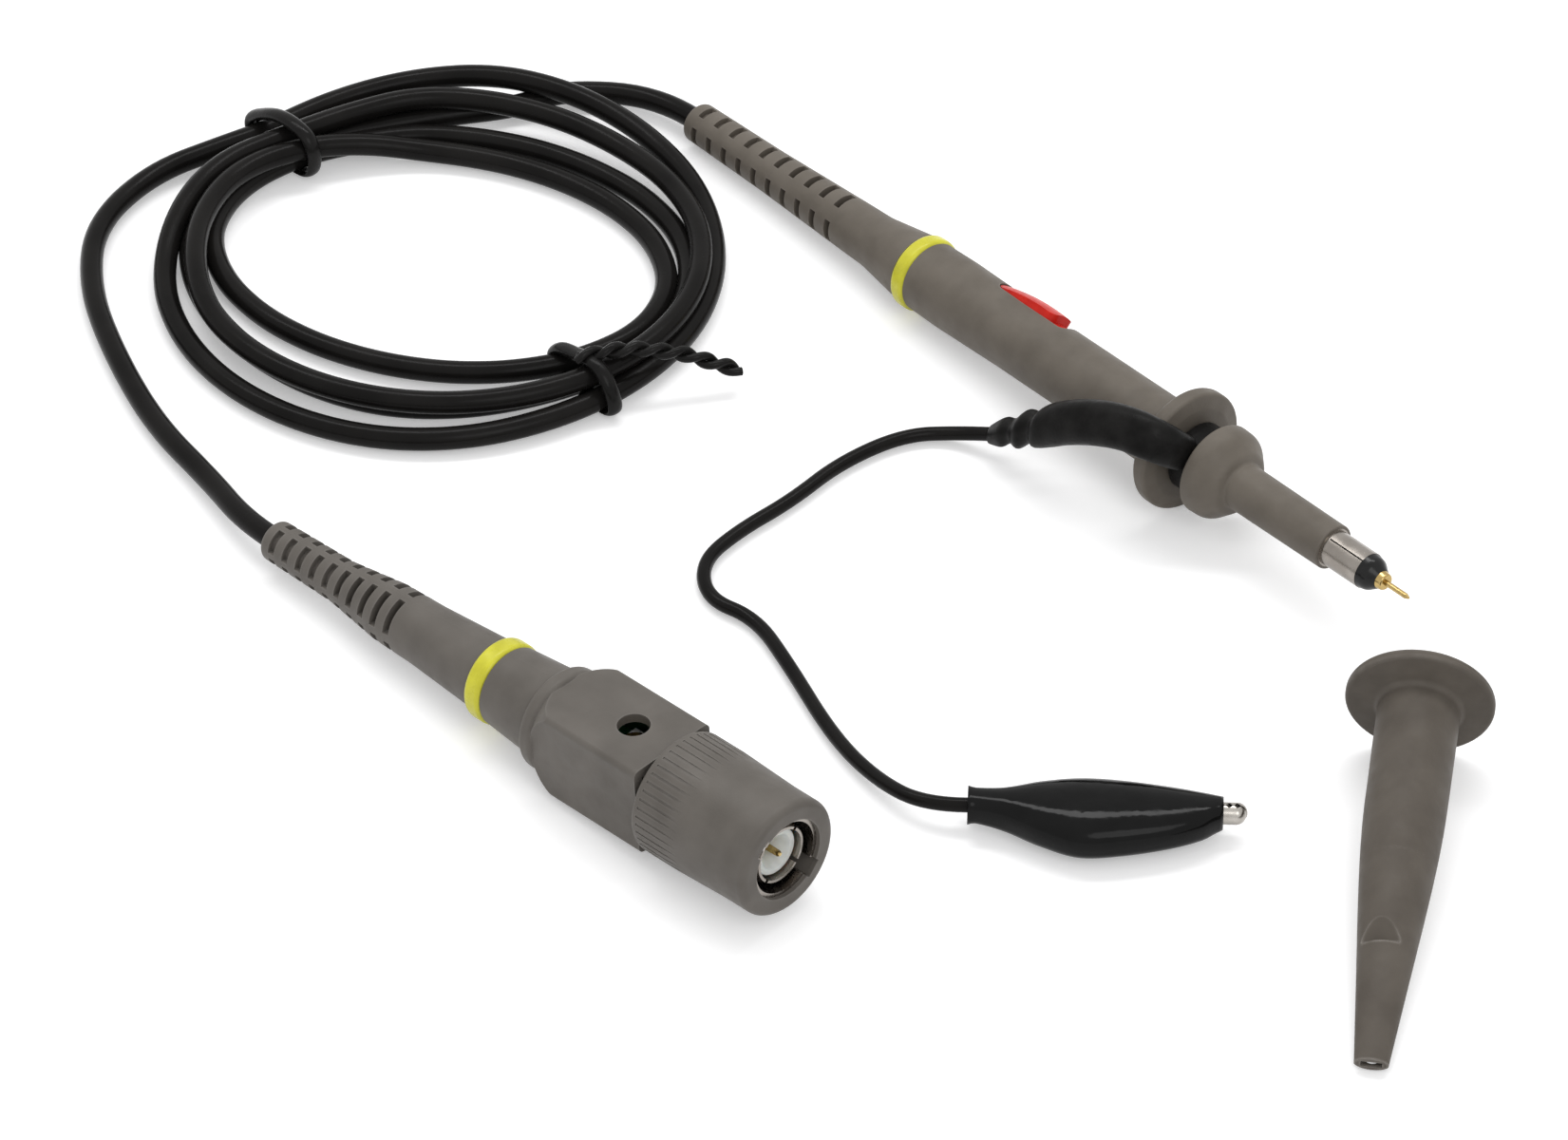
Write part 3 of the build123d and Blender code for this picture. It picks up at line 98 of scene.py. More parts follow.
def seen_directly(tree):
    """1 for what the camera, a mirror or a window sees of the backdrop, 0 for the light that it gives."""
    path = tree.nodes.new("ShaderNodeLightPath")
    either = tree.nodes.new("ShaderNodeMath")
    either.operation = "MAXIMUM"
    tree.links.new(path.outputs["Is Camera Ray"], either.inputs[0])
    tree.links.new(path.outputs["Is Glossy Ray"], either.inputs[1])
    whole = tree.nodes.new("ShaderNodeMath")
    whole.operation = "MAXIMUM"
    tree.links.new(either.outputs[0], whole.inputs[0])
    tree.links.new(path.outputs["Is Transmission Ray"], whole.inputs[1])
    return whole.outputs[0]


def white_table():
    material = bpy.data.materials.new("white_table")
    material.use_nodes = True
    tree = material.node_tree
    tree.nodes.clear()
    lit = tree.nodes.new("ShaderNodeBsdfDiffuse")
    lit.inputs["Color"].default_value = TABLE_WHITE
    glow = tree.nodes.new("ShaderNodeEmission")
    lift = tree.nodes.new("ShaderNodeMath")
    lift.operation = "MULTIPLY"
    lift.inputs[1].default_value = TABLE_GLOW
    tree.links.new(seen_directly(tree), lift.inputs[0])
    tree.links.new(lift.outputs[0], glow.inputs["Strength"])
    both = tree.nodes.new("ShaderNodeAddShader")
    tree.links.new(lit.outputs[0], both.inputs[0])
    tree.links.new(glow.outputs[0], both.inputs[1])
    out = tree.nodes.new("ShaderNodeOutputMaterial")
    tree.links.new(both.outputs[0], out.inputs["Surface"])
    mesh = bpy.data.meshes.new("table_top")
    corners = [
        (side * TABLE_HALF_SIDE, end * TABLE_HALF_SIDE, TABLE_HEIGHT)
        for side, end in ((-1, -1), (1, -1), (1, 1), (-1, 1))
    ]
    mesh.from_pydata(corners, [], [(0, 1, 2, 3)])
    mesh.materials.append(material)
    table = bpy.data.objects.new("table_top", mesh)
    bpy.context.collection.objects.link(table)


def white_room():
    world = bpy.data.worlds.new("white_room")
    bpy.context.scene.world = world
    world.use_nodes = True
    tree = world.node_tree
    background = tree.nodes["Background"]
    background.inputs["Color"].default_value = (1, 1, 1, 1)
    strength = tree.nodes.new("ShaderNodeMapRange")
    strength.inputs["To Min"].default_value = ROOM_LIGHT
    strength.inputs["To Max"].default_value = ROOM_SEEN
    tree.links.new(seen_directly(tree), strength.inputs["Value"])
    tree.links.new(strength.outputs[0], background.inputs["Strength"])


bpy.context.scene.view_settings.view_transform = "Standard"
place_camera()
white_table()
white_room()
for lamp_row in LAMPS:
    soft_lamp(*lamp_row)


# ---- Coaxial cable ----------------------------------------------------------------------------------
# Just under a metre of thin black PVC coax: from the box it bends round, winds into four loose turns under
# two wire ties, and leaves below the outermost turn for the probe's strain relief.
COAX_DIAMETER = 0.0031
COAX_TO_BOX = [
    (-0.0643, -0.0519, 0.0037), (-0.0698, -0.0524, 0.0034), (-0.0803, -0.0502, 0.0022),
    (-0.0944, -0.0487, 0.0016), (-0.1096, -0.0442, 0.0016), (-0.1227, -0.0386, 0.0016),
    (-0.1329, -0.0302, 0.0016), (-0.1370, -0.0177, 0.0016), (-0.1346, -0.0065, 0.0022),
]
COAX_TO_PROBE = [(-0.0965, 0.0455, 0.0028), (-0.1046, 0.0455, 0.0023), (-0.1150, 0.0362, 0.0018)]
COIL_CENTRE, COIL_TURN = Vector((-0.0969, 0.0007, 0)), math.radians(49.7)
COIL_OUTSIDE = 0.0390 - COAX_DIAMETER / 2
COIL_HOLE_LONG, COIL_HOLE_SHORT, COIL_HOLE_TURN = 0.0305, 0.0210, math.radians(-18)

# Where each turn lies at stations round the coil, in degrees: its place from the hole (0) to the
# outside (1) and its height in millimetres. The turns run clockwise from the far tie.
STATIONS = (133, 92, 74, 45, 0, -52, -100, -150, -172, -198)
TURNS = (
    (
        (0.90, 2.3), (1.0, 3.6), (1.0, 4.9), (1.0, 3.2), (1.0, 1.8),
        (0.95, 2.1), (1.0, 1.6), (1.0, 1.6), (1.0, 1.8), (0.78, 4.5),
    ),
    (
        (0.32, 4.7), (0.60, 4.8), (0.60, 4.5), (0.66, 3.4), (0.75, 4.3),
        (0.73, 4.5), (0.67, 4.2), (0.66, 4.2), (0.45, 4.9), (0.10, 5.0),
    ),
    (
        (-0.05, 4.6), (0.0, 1.7), (0.0, 1.6), (0.0, 1.6), (0.0, 1.7),
        (0.04, 2.1), (0.0, 1.6), (0.0, 1.6), (0.0, 1.8), (0.03, 1.8),
    ),
    (
        (0.12, 2.1), (0.27, 1.7), (0.27, 1.6), (0.32, 1.6), (0.5, 1.7),
        (0.5, 2.1), (0.55, 1.6), (0.5, 1.6), (0.5, 1.8), (0.5, 1.9),
    ),
)
LEAVING = ((0.50, 2.1), (0.56, 1.7), (0.80, 1.6))
POINTS_PER_TURN = 20


def hole_radius(angle):
    """The oval hole's radius in a direction counted in the coil's own frame."""
    turned = angle - COIL_HOLE_TURN
    return 1 / math.hypot(math.cos(turned) / COIL_HOLE_LONG, math.sin(turned) / COIL_HOLE_SHORT)


def in_coil(degrees, place, height):
    angle = math.radians(degrees)
    inside = hole_radius(angle) + COAX_DIAMETER / 2
    radius = inside + place * (COIL_OUTSIDE - inside)
    whole = angle + COIL_TURN
    return COIL_CENTRE + Vector((radius * math.cos(whole), radius * math.sin(whole), height / 1000))


def eased(stations, lies, degrees):
    """Place and height between two stations, easing in and out of each."""
    for i in range(len(stations) - 1):
        if stations[i] >= degrees >= stations[i + 1]:
            share = (stations[i] - degrees) / (stations[i] - stations[i + 1])
            share = share * share * (3 - 2 * share)
            return [a + (b - a) * share for a, b in zip(lies[i], lies[i + 1])]


def coil_points():
    points = []
    for turn, lies in enumerate(TURNS):
        following = TURNS[turn + 1][0] if turn + 1 < len(TURNS) else LEAVING[0]
        for step in range(POINTS_PER_TURN):
            degrees = STATIONS[0] - 360 * step / POINTS_PER_TURN
            place, height = eased(STATIONS + (STATIONS[0] - 360,), lies + (following,), degrees)
            points.append(in_coil(degrees, place, height))
    for degrees, (place, height) in zip(STATIONS, LEAVING):
        points.append(in_coil(degrees, place, height))
    return points


def smooth_curve(name, points, radius):
    """A round cable along a NURBS line whose control points are the route's own points."""
    curve = bpy.data.curves.new(name, "CURVE")
    curve.dimensions = "3D"
    curve.bevel_depth = radius
    curve.bevel_resolution = 6
    curve.use_fill_caps = True
    spline = curve.splines.new("NURBS")
    spline.points.add(len(points) - 1)
    for target, point in zip(spline.points, points):
        target.co = (*point, 1)
    spline.order_u = 3
    spline.use_endpoint_u = True
    spline.resolution_u = 8
    piece = bpy.data.objects.new(name, curve)
    bpy.context.collection.objects.link(piece)
    return piece


def grain(tree, size, detail=3.0, turn=0.0, share=1.0):
    """Soft noise with lumps a share of size millimetres wide. Where size is (x, y, z), they are long or
    flat along axes turned by turn degrees about the upright."""
    sides = size if isinstance(size, tuple) else (size, size, size)
    place = tree.nodes.new("ShaderNodeTexCoord")
    fit = tree.nodes.new("ShaderNodeMapping")
    fit.vector_type = "TEXTURE"
    fit.inputs["Scale"].default_value = [side * share / 1000 for side in sides]
    fit.inputs["Rotation"].default_value = (0, 0, math.radians(turn))
    noise = tree.nodes.new("ShaderNodeTexNoise")
    noise.inputs["Scale"].default_value = 1.0
    noise.inputs["Detail"].default_value = detail
    tree.links.new(place.outputs["Object"], fit.inputs["Vector"])
    tree.links.new(fit.outputs[0], noise.inputs["Vector"])
    return noise.outputs["Fac"]


NOISE_LOW, NOISE_HIGH = 0.32, 0.68


def spread(tree, amount, low, high):
    """The middle of a noise, where nearly all of it lies, stretched to run from low to high."""
    stretch = tree.nodes.new("ShaderNodeMapRange")
    stretch.inputs["From Min"].default_value = NOISE_LOW
    stretch.inputs["From Max"].default_value = NOISE_HIGH
    stretch.inputs["To Min"].default_value = low
    stretch.inputs["To Max"].default_value = high
    tree.links.new(amount, stretch.inputs["Value"])
    return stretch.outputs[0]


def blended_colour(tree, amount, first, second):
    """The first colour where amount is 0 and the second where it is 1; first may be a socket."""
    mix = tree.nodes.new("ShaderNodeMix")
    mix.data_type = "RGBA"
    tree.links.new(amount, mix.inputs["Factor"])
    if isinstance(first, tuple):
        mix.inputs["A"].default_value = (*first, 1)
    else:
        tree.links.new(first, mix.inputs["A"])
    mix.inputs["B"].default_value = (*second, 1)
    return mix.outputs["Result"]


def finish(name, dark, light, patch, polish, tooth, depth, turn=0.0, **constants):
    """A moulded or plated surface: two close colours in soft patches of patch millimetres, a polish that
    wanders between two roughnesses in smaller patches, and a fine tooth of that size and depth in
    millimetres."""
    material = bpy.data.materials.new(name)
    material.use_nodes = True
    tree = material.node_tree
    shader = tree.nodes["Principled BSDF"]
    for socket, value in constants.items():
        shader.inputs[socket.replace("_", " ")].default_value = value
    colour = blended_colour(tree, spread(tree, grain(tree, patch, turn=turn), 0, 1), dark, light)
    tree.links.new(colour, shader.inputs["Base Color"])
    wander = grain(tree, patch, turn=turn, share=0.4)
    tree.links.new(spread(tree, wander, *polish), shader.inputs["Roughness"])
    bump = tree.nodes.new("ShaderNodeBump")
    bump.inputs["Strength"].default_value = 1.0
    bump.inputs["Distance"].default_value = depth / 1000
    tree.links.new(grain(tree, tooth, detail=2.0, turn=turn), bump.inputs["Height"])
    tree.links.new(bump.outputs[0], shader.inputs["Normal"])
    return material


pvc_jacket = finish(
    "pvc_jacket", dark=(0.0064, 0.0059, 0.0056), light=(0.0110, 0.0102, 0.0096), patch=9,
    polish=(0.17, 0.28), tooth=0.5, depth=0.012, Specular_IOR_Level=0.07,
)

coax_route = COAX_TO_BOX + [tuple(point) for point in coil_points()] + COAX_TO_PROBE[::-1]
coax = smooth_curve("coax", coax_route, COAX_DIAMETER / 2)
coax.data.materials.append(pvc_jacket)
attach(coax, "probe_set")
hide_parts("coax_to_box", "coax_coil", "coax_to_probe")


# ---- Wire ties --------------------------------------------------------------------------------------
# Two plastic-coated wires, each closed round all the strands, with its two ends twisted on each other.
# The near one's tail is long and bends down outside the coil, and the far one's is a stub.
FAR_TIE_ANGLE, NEAR_TIE_ANGLE = 133.0, -52.0
TIE_HALF_WIDTH = 1.1
# How far out in the coil, how high, and half how thick, going once round the strands.
FAR_TIE = (
    (28.6, 0.28, 0.22), (33.0, 0.27, 0.21), (36.9, 0.28, 0.22), (38.9, 1.3, 0.55), (39.0, 3.6, 0.75),
    (36.4, 5.6, 0.8), (33.2, 7.15, 0.85), (29.9, 7.6, 0.85), (27.0, 6.9, 0.8), (25.8, 4.6, 0.75),
    (26.3, 1.5, 0.55),
)
NEAR_TIE = (
    (28.8, 0.28, 0.22), (33.0, 0.27, 0.21), (36.8, 0.28, 0.22), (39.1, 1.4, 0.55), (38.7, 3.7, 0.75),
    (36.9, 6.0, 0.8), (34.2, 6.7, 0.85), (30.8, 5.6, 0.85), (27.5, 4.4, 0.8), (25.9, 2.7, 0.75),
    (26.5, 1.1, 0.55),
)
TIE_STEPS, TIE_AROUND = 88, 16
# The twisted ends: how far out, how far along the coil and how high.
TIE_TAIL = (
    (32.8, -1.4, 6.9), (34.6, 1.6, 7.7), (36.3, 5.2, 7.5), (38.5, 8.4, 6.9), (39.9, 11.3, 5.8),
    (41.8, 13.3, 4.8), (43.0, 15.6, 3.6), (44.2, 16.9, 2.6),
)
TIE_SHORT_END = ((38.9, -0.9, 2.4), (39.3, -2.4, 1.5), (39.3, -4.2, 1.3))
TAIL_WIRE_RADIUS, TAIL_TWIST, TAIL_STEP = 0.00058, 0.0062, 0.00035


def beside_tie(tie_angle, out, along, height):
    """A place in millimetres out from the coil's middle through a tie, along the coil there, and up."""
    angle = COIL_TURN + math.radians(tie_angle)
    away = Vector((math.cos(angle), math.sin(angle), 0))
    onward = Vector((-math.sin(angle), math.cos(angle), 0))
    return COIL_CENTRE + (away * out + onward * along + Vector((0, 0, height))) / 1000


def between(before, start, end, after, share):
    """What a smooth line through four values says a share of the way from start to end."""
    return 0.5 * (
        2 * start + (end - before) * share + (2 * before - 5 * start + 4 * end - after) * share**2
        + (3 * start - before - 3 * end + after) * share**3
    )


def round_again(values, place):
    """A smooth closed line through values, at a place from 0 to 1 round it."""
    count = len(values)
    i, share = int(place * count) % count, place * count % 1
    return between(*(Vector(values[(i + k) % count]) for k in (-1, 0, 1, 2)), share)


def ring_mesh(name, rings, closed=False):
    """Skins a row of equal rings of points; a closed row joins its last ring to its first."""
    shape = bmesh.new()
    rows = [[shape.verts.new(point) for point in ring] for ring in rings]
    around = len(rows[0])
    pairs = list(zip(rows, rows[1:])) + ([(rows[-1], rows[0])] if closed else [])
    for here, there in pairs:
        for i in range(around):
            j = (i + 1) % around
            shape.faces.new((here[i], here[j], there[j], there[i]))
    if not closed:
        shape.faces.new(rows[0])
        shape.faces.new(rows[-1])
    bmesh.ops.recalc_face_normals(shape, faces=shape.faces)
    mesh = bpy.data.meshes.new(name)
    shape.to_mesh(mesh)
    shape.free()
    mesh.shade_smooth()
    piece = bpy.data.objects.new(name, mesh)
    bpy.context.collection.objects.link(piece)
    return piece


def tie_loop(name, tie_angle, outline):
    rings = []
    for step in range(TIE_STEPS):
        out, high, thick = round_again(outline, step / TIE_STEPS)
        ahead = round_again(outline, ((step + 0.5) / TIE_STEPS) % 1)
        back = round_again(outline, ((step - 0.5) / TIE_STEPS) % 1)
        run = Vector((ahead[0] - back[0], ahead[1] - back[1])).normalized()
        ring = []
        for i in range(TIE_AROUND):
            angle = 2 * math.pi * i / TIE_AROUND
            along, off = TIE_HALF_WIDTH * math.cos(angle), thick * math.sin(angle)
            ring.append(beside_tie(tie_angle, out - run.y * off, along, high + run.x * off))
        rings.append(ring)
    return ring_mesh(name, rings, closed=True)


def wire_along_path():
    """The node tree that lays round wires along a curve: one down its middle, or several twisted on each
    other."""
    tree = bpy.data.node_groups.new("wire_along_path", "GeometryNodeTree")
    for label, kind, start in (
        ("Path", "NodeSocketGeometry", None), ("Wire radius", "NodeSocketFloat", 0.0005),
        ("Strands", "NodeSocketInt", 1), ("Strand offset", "NodeSocketFloat", 0.0),
        ("Twist length", "NodeSocketFloat", 0.005), ("Step", "NodeSocketFloat", 0.0004),
        ("Finish", "NodeSocketMaterial", None),
    ):
        socket = tree.interface.new_socket(label, in_out="INPUT", socket_type=kind)
        if start is not None:
            socket.default_value = start
    tree.interface.new_socket("Wires", in_out="OUTPUT", socket_type="NodeSocketGeometry")
    into = tree.nodes.new("NodeGroupInput")
    link, node = tree.links.new, tree.nodes.new

    evenly = node("GeometryNodeResampleCurve")
    evenly.mode = "LENGTH"
    link(into.outputs["Path"], evenly.inputs["Curve"])
    link(into.outputs["Step"], evenly.inputs["Length"])
    copies = node("GeometryNodeDuplicateElements")
    copies.domain = "SPLINE"
    link(evenly.outputs[0], copies.inputs["Geometry"])
    link(into.outputs["Strands"], copies.inputs["Amount"])

    def worked_out(operation, first, second):
        step = node("ShaderNodeMath")
        step.operation = operation
        for value, socket in ((first, step.inputs[0]), (second, step.inputs[1])):
            if isinstance(value, float):
                socket.default_value = value
            else:
                link(value, socket)
        return step.outputs[0]

    along = node("GeometryNodeSplineParameter").outputs["Length"]
    turns = worked_out("DIVIDE", along, into.outputs["Twist length"])
    start = worked_out("DIVIDE", copies.outputs["Duplicate Index"], into.outputs["Strands"])
    angle = worked_out("MULTIPLY", worked_out("ADD", turns, start), 2 * math.pi)
    normal = node("GeometryNodeInputNormal").outputs["Normal"]
    tangent = node("GeometryNodeInputTangent").outputs[0]
    sideways = node("ShaderNodeVectorMath")
    sideways.operation = "CROSS_PRODUCT"
    link(normal, sideways.inputs[0])
    link(tangent, sideways.inputs[1])
    parts = []
    for direction, function in ((normal, "COSINE"), (sideways.outputs[0], "SINE")):
        reach = node("ShaderNodeVectorMath")
        reach.operation = "SCALE"
        link(direction, reach.inputs[0])
        wave = node("ShaderNodeMath")
        wave.operation = function
        link(angle, wave.inputs[0])
        link(worked_out("MULTIPLY", wave.outputs[0], into.outputs["Strand offset"]), reach.inputs["Scale"])
        parts.append(reach.outputs[0])
    apart = node("ShaderNodeVectorMath")
    link(parts[0], apart.inputs[0])
    link(parts[1], apart.inputs[1])
    moved = node("GeometryNodeSetPosition")
    link(copies.outputs["Geometry"], moved.inputs["Geometry"])
    link(apart.outputs[0], moved.inputs["Offset"])

    profile = node("GeometryNodeCurvePrimitiveCircle")
    profile.inputs["Resolution"].default_value = 14
    link(into.outputs["Wire radius"], profile.inputs["Radius"])
    sweep = node("GeometryNodeCurveToMesh")
    sweep.inputs["Fill Caps"].default_value = True
    link(moved.outputs[0], sweep.inputs["Curve"])
    link(profile.outputs[0], sweep.inputs["Profile Curve"])
    whole = node("GeometryNodeRealizeInstances")
    link(sweep.outputs[0], whole.inputs[0])
    coloured = node("GeometryNodeSetMaterial")
    link(whole.outputs[0], coloured.inputs["Geometry"])
    link(into.outputs["Finish"], coloured.inputs["Material"])
    link(coloured.outputs[0], node("NodeGroupOutput").inputs[0])
    return tree


def plain_mesh_of(piece):
    """The mesh that a piece's curve and nodes come to."""
    bpy.context.view_layer.update()
    return bpy.data.meshes.new_from_object(piece.evaluated_get(bpy.context.evaluated_depsgraph_get()))


def wire_piece(name, points, tree, **inputs):
    """The wires that the tree lays along a smooth line, as a plain mesh."""
    route = smooth_curve(name + "_route", points, 0.0)
    route.data.use_fill_caps = False
    sockets = {item.name: item.identifier for item in tree.interface.items_tree if item.in_out == "INPUT"}
    laid = route.modifiers.new("wires", "NODES")
    laid.node_group = tree
    for label, value in inputs.items():
        laid[sockets[label.replace("_", " ")]] = value
    mesh = plain_mesh_of(route)
    mesh.name = name
    mesh.shade_smooth()
    route.modifiers.remove(laid)
    bpy.data.objects.remove(route)
    piece = bpy.data.objects.new(name, mesh)
    bpy.context.collection.objects.link(piece)
    return piece


tie_plastic = finish(
    "tie_plastic", dark=(0.006, 0.0057, 0.0055), light=(0.012, 0.0115, 0.011), patch=3,
    polish=(0.16, 0.30), tooth=0.6, depth=0.02, Specular_IOR_Level=0.10,
)
laid_wires = wire_along_path()
far_tie_wire = tie_loop("far_tie_wire", FAR_TIE_ANGLE, FAR_TIE)
near_tie_wire = tie_loop("near_tie_wire", NEAR_TIE_ANGLE, NEAR_TIE)
near_tie_tail, far_tie_end = (
    wire_piece(
        name, [beside_tie(tie_angle, *point) for point in points], laid_wires,
        Wire_radius=TAIL_WIRE_RADIUS, Strands=2, Strand_offset=TAIL_WIRE_RADIUS, Twist_length=TAIL_TWIST,
        Step=TAIL_STEP, Finish=tie_plastic,
    )
    for name, tie_angle, points in (
        ("near_tie_tail", NEAR_TIE_ANGLE, TIE_TAIL), ("far_tie_end", FAR_TIE_ANGLE, TIE_SHORT_END),
    )
)
for tie, node in (
    (far_tie_wire, "tie_far"), (far_tie_end, "tie_far"),
    (near_tie_wire, "tie_near"), (near_tie_tail, "tie_near"),
):
    if not tie.data.materials:
        tie.data.materials.append(tie_plastic)
    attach(tie, "probe_set")
    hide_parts(node)


# ---- Probe grip -------------------------------------------------------------------------------------
# The slotted strain relief, the barrel and the nose sleeve are moulded in one warm grey plastic with a
# fine spark-eroded tooth. Their edges are painted paler, for rubbed wear and as a painted highlight.
# How far the true and the rounded surface agree where the paler edge (rubbed wear and a painted highlight) starts
# and where it is full.
WEAR_AND_HIGHLIGHT_STARTS, WEAR_AND_HIGHLIGHT_FULL = 0.995, 0.90
WEAR_AND_HIGHLIGHT_PATCH, WEAR_AND_HIGHLIGHT_LEAST = 1.6, 0.35


def wear_and_painted_highlight_edges(material, paler, reach, strength):
    """Adds the paler colour, broken up, where the surface turns within reach millimetres: rubbed wear, and a
    painted highlight where light catches the edge.
    """
    tree = material.node_tree
    shader = tree.nodes["Principled BSDF"]
    rounded = tree.nodes.new("ShaderNodeBevel")
    rounded.samples = 4
    rounded.inputs["Radius"].default_value = reach / 1000
    true = tree.nodes.new("ShaderNodeNewGeometry")
    alike = tree.nodes.new("ShaderNodeVectorMath")
    alike.operation = "DOT_PRODUCT"
    tree.links.new(rounded.outputs[0], alike.inputs[0])
    tree.links.new(true.outputs["Normal"], alike.inputs[1])
    edge = tree.nodes.new("ShaderNodeMapRange")
    edge.inputs["From Min"].default_value = WEAR_AND_HIGHLIGHT_STARTS
    edge.inputs["From Max"].default_value = WEAR_AND_HIGHLIGHT_FULL
    edge.inputs["To Max"].default_value = strength
    tree.links.new(alike.outputs["Value"], edge.inputs["Value"])
    broken = tree.nodes.new("ShaderNodeMath")
    broken.operation = "MULTIPLY"
    tree.links.new(edge.outputs[0], broken.inputs[0])
    tree.links.new(spread(tree, grain(tree, WEAR_AND_HIGHLIGHT_PATCH), WEAR_AND_HIGHLIGHT_LEAST, 1.0), broken.inputs[1])
    under = shader.inputs["Base Color"].links[0].from_socket
    tree.links.new(blended_colour(tree, broken.outputs[0], under, paler), shader.inputs["Base Color"])


def dress(material, *nodes):
    """Gives a finish to pieces that keep their own shape."""
    for node in nodes:
        for place in frame["nodes"][node].material_slots:
            place.material = material


grip_plastic = finish(
    "grip_plastic", dark=(0.112, 0.097, 0.080), light=(0.142, 0.124, 0.103), patch=5,
    polish=(0.44, 0.58), tooth=0.22, depth=0.016, Specular_IOR_Level=0.20,
)
wear_and_painted_highlight_edges(grip_plastic, paler=(0.215, 0.19, 0.168), reach=0.35, strength=0.55)
dress(grip_plastic, "probe_strain_relief", "probe_barrel", "nose_sleeve")


# ---- Marker rings -----------------------------------------------------------------------------------
# Yellow silicone rings snapped into a groove in front of each strain relief, one at each end of the
# cable, to tell one probe's two ends from another's.
marker_rubber = finish(
    "marker_rubber", dark=(0.50, 0.475, 0.028), light=(0.62, 0.595, 0.040), patch=2.5,
    polish=(0.24, 0.38), tooth=0.4, depth=0.01, Specular_IOR_Level=0.30,
)
dress(marker_rubber, "probe_marker_ring", "box_marker_ring")


# ---- Attenuation switch -----------------------------------------------------------------------------
# A red slider in the barrel's slot bridges the resistor at the times-one end and frees it at the
# times-ten end, by a brass spring contact on the board below.
switch_plastic = finish(
    "switch_plastic", dark=(0.46, 0.014, 0.009), light=(0.57, 0.022, 0.013), patch=2,
    polish=(0.26, 0.38), tooth=0.3, depth=0.008, Specular_IOR_Level=0.12,
)
solder_mask = finish(
    "solder_mask", dark=(0.012, 0.085, 0.028), light=(0.03, 0.16, 0.055), patch=(3.0, 0.7, 0.7),
    polish=(0.25, 0.4), tooth=(1.5, 0.35, 0.35), depth=0.03,
)
resistor_lacquer = finish(
    "resistor_lacquer", dark=(0.46, 0.28, 0.11), light=(0.58, 0.38, 0.18), patch=(0.9, 3, 3),
    polish=(0.2, 0.35), tooth=0.4, depth=0.02,
)
spring_brass = finish(
    "spring_brass", dark=(0.46, 0.32, 0.12), light=(0.60, 0.43, 0.18), patch=1.5, polish=(0.22, 0.36),
    tooth=(0.1, 1.5, 1.5), depth=0.003, Metallic=1.0,
)
dress(switch_plastic, "switch_slider")
dress(solder_mask, "attenuator_board", "comp_board")
dress(resistor_lacquer, "tip_resistor")
dress(
    spring_brass, "switch_contact", "probe_crimp_ferrule", "box_crimp_ferrule", "hook_contact",
    "trimmer_screw",
)
dress(pvc_jacket, "probe_cable_end", "box_cable_end")


# ---- Shield and needle ------------------------------------------------------------------------------
# A rolled nickel-plated tube carries ground to the tip, with its seam left open. A black insulator
# pressed in its end holds the gold-plated needle.
nickel_plate = finish(
    "nickel_plate", dark=(0.250, 0.226, 0.202), light=(0.315, 0.289, 0.262), patch=3,
    polish=(0.20, 0.31), tooth=0.6, depth=0.002, Metallic=1.0,
)
gold_plate = finish(
    "gold_plate", dark=(0.40, 0.28, 0.105), light=(0.52, 0.38, 0.155), patch=0.8, polish=(0.16, 0.28),
    tooth=(0.08, 2, 2), depth=0.002, Metallic=1.0,
)
tip_nylon = finish(
    "tip_nylon", dark=(0.0045, 0.0045, 0.0045), light=(0.009, 0.009, 0.009), patch=1.5,
    polish=(0.14, 0.26), tooth=0.3, depth=0.006, Specular_IOR_Level=0.25,
)
dress(nickel_plate, "shield_tube", "ground_collar")
dress(tip_nylon, "tip_insulator")
dress(gold_plate, "tip_needle")


# ---- Compensation box -------------------------------------------------------------------------------
# The grey cover is moulded over a tinned frame, a board and the trimmer, which a screwdriver reaches
# through the round hole in its top. Its own strain relief has deep scalloped slots.
BOX_DEGREES = 5.1
box_plastic = finish(
    "box_plastic", dark=(0.102, 0.092, 0.081), light=(0.128, 0.116, 0.103), patch=6,
    polish=(0.40, 0.54), tooth=0.28, depth=0.014, turn=BOX_DEGREES, Specular_IOR_Level=0.20,
)
# Paler edges: rubbed wear, and a painted highlight along the front corners.
wear_and_painted_highlight_edges(box_plastic, paler=(0.20, 0.188, 0.176), reach=0.4, strength=0.6)
tinned_sheet = finish(
    "tinned_sheet", dark=(0.42, 0.42, 0.41), light=(0.54, 0.54, 0.53), patch=4, polish=(0.28, 0.42),
    tooth=0.8, depth=0.01, Metallic=1.0,
)
fluoropolymer = finish(
    "fluoropolymer", dark=(0.60, 0.575, 0.53), light=(0.70, 0.675, 0.63), patch=1.5,
    polish=(0.30, 0.44), tooth=0.3, depth=0.008, Subsurface_Weight=0.15, Specular_IOR_Level=0.25,
)
dress(box_plastic, "box_strain_relief", "comp_box_cover", "bnc_collar")
dress(tinned_sheet, "box_frame")
dress(fluoropolymer, "trimmer_body")


# ---- Bayonet plug -----------------------------------------------------------------------------------
# A nickel-plated turned body and bush, sprung together by a washer and a split ring, with a white
# insulator round the gold centre pin and a red gasket behind the slit contact.
spring_steel = finish(
    "spring_steel", dark=(0.36, 0.36, 0.36), light=(0.48, 0.48, 0.48), patch=1, polish=(0.16, 0.3),
    tooth=(0.1, 1, 1), depth=0.003, Metallic=1.0,
)
red_silicone = finish(
    "red_silicone", dark=(0.42, 0.018, 0.012), light=(0.54, 0.028, 0.018), patch=1.5,
    polish=(0.4, 0.55), tooth=0.3, depth=0.01,
)
dress(nickel_plate, "bnc_body", "bayonet_bush")
dress(spring_steel, "spring_washer", "retaining_ring")
dress(red_silicone, "bnc_gasket")

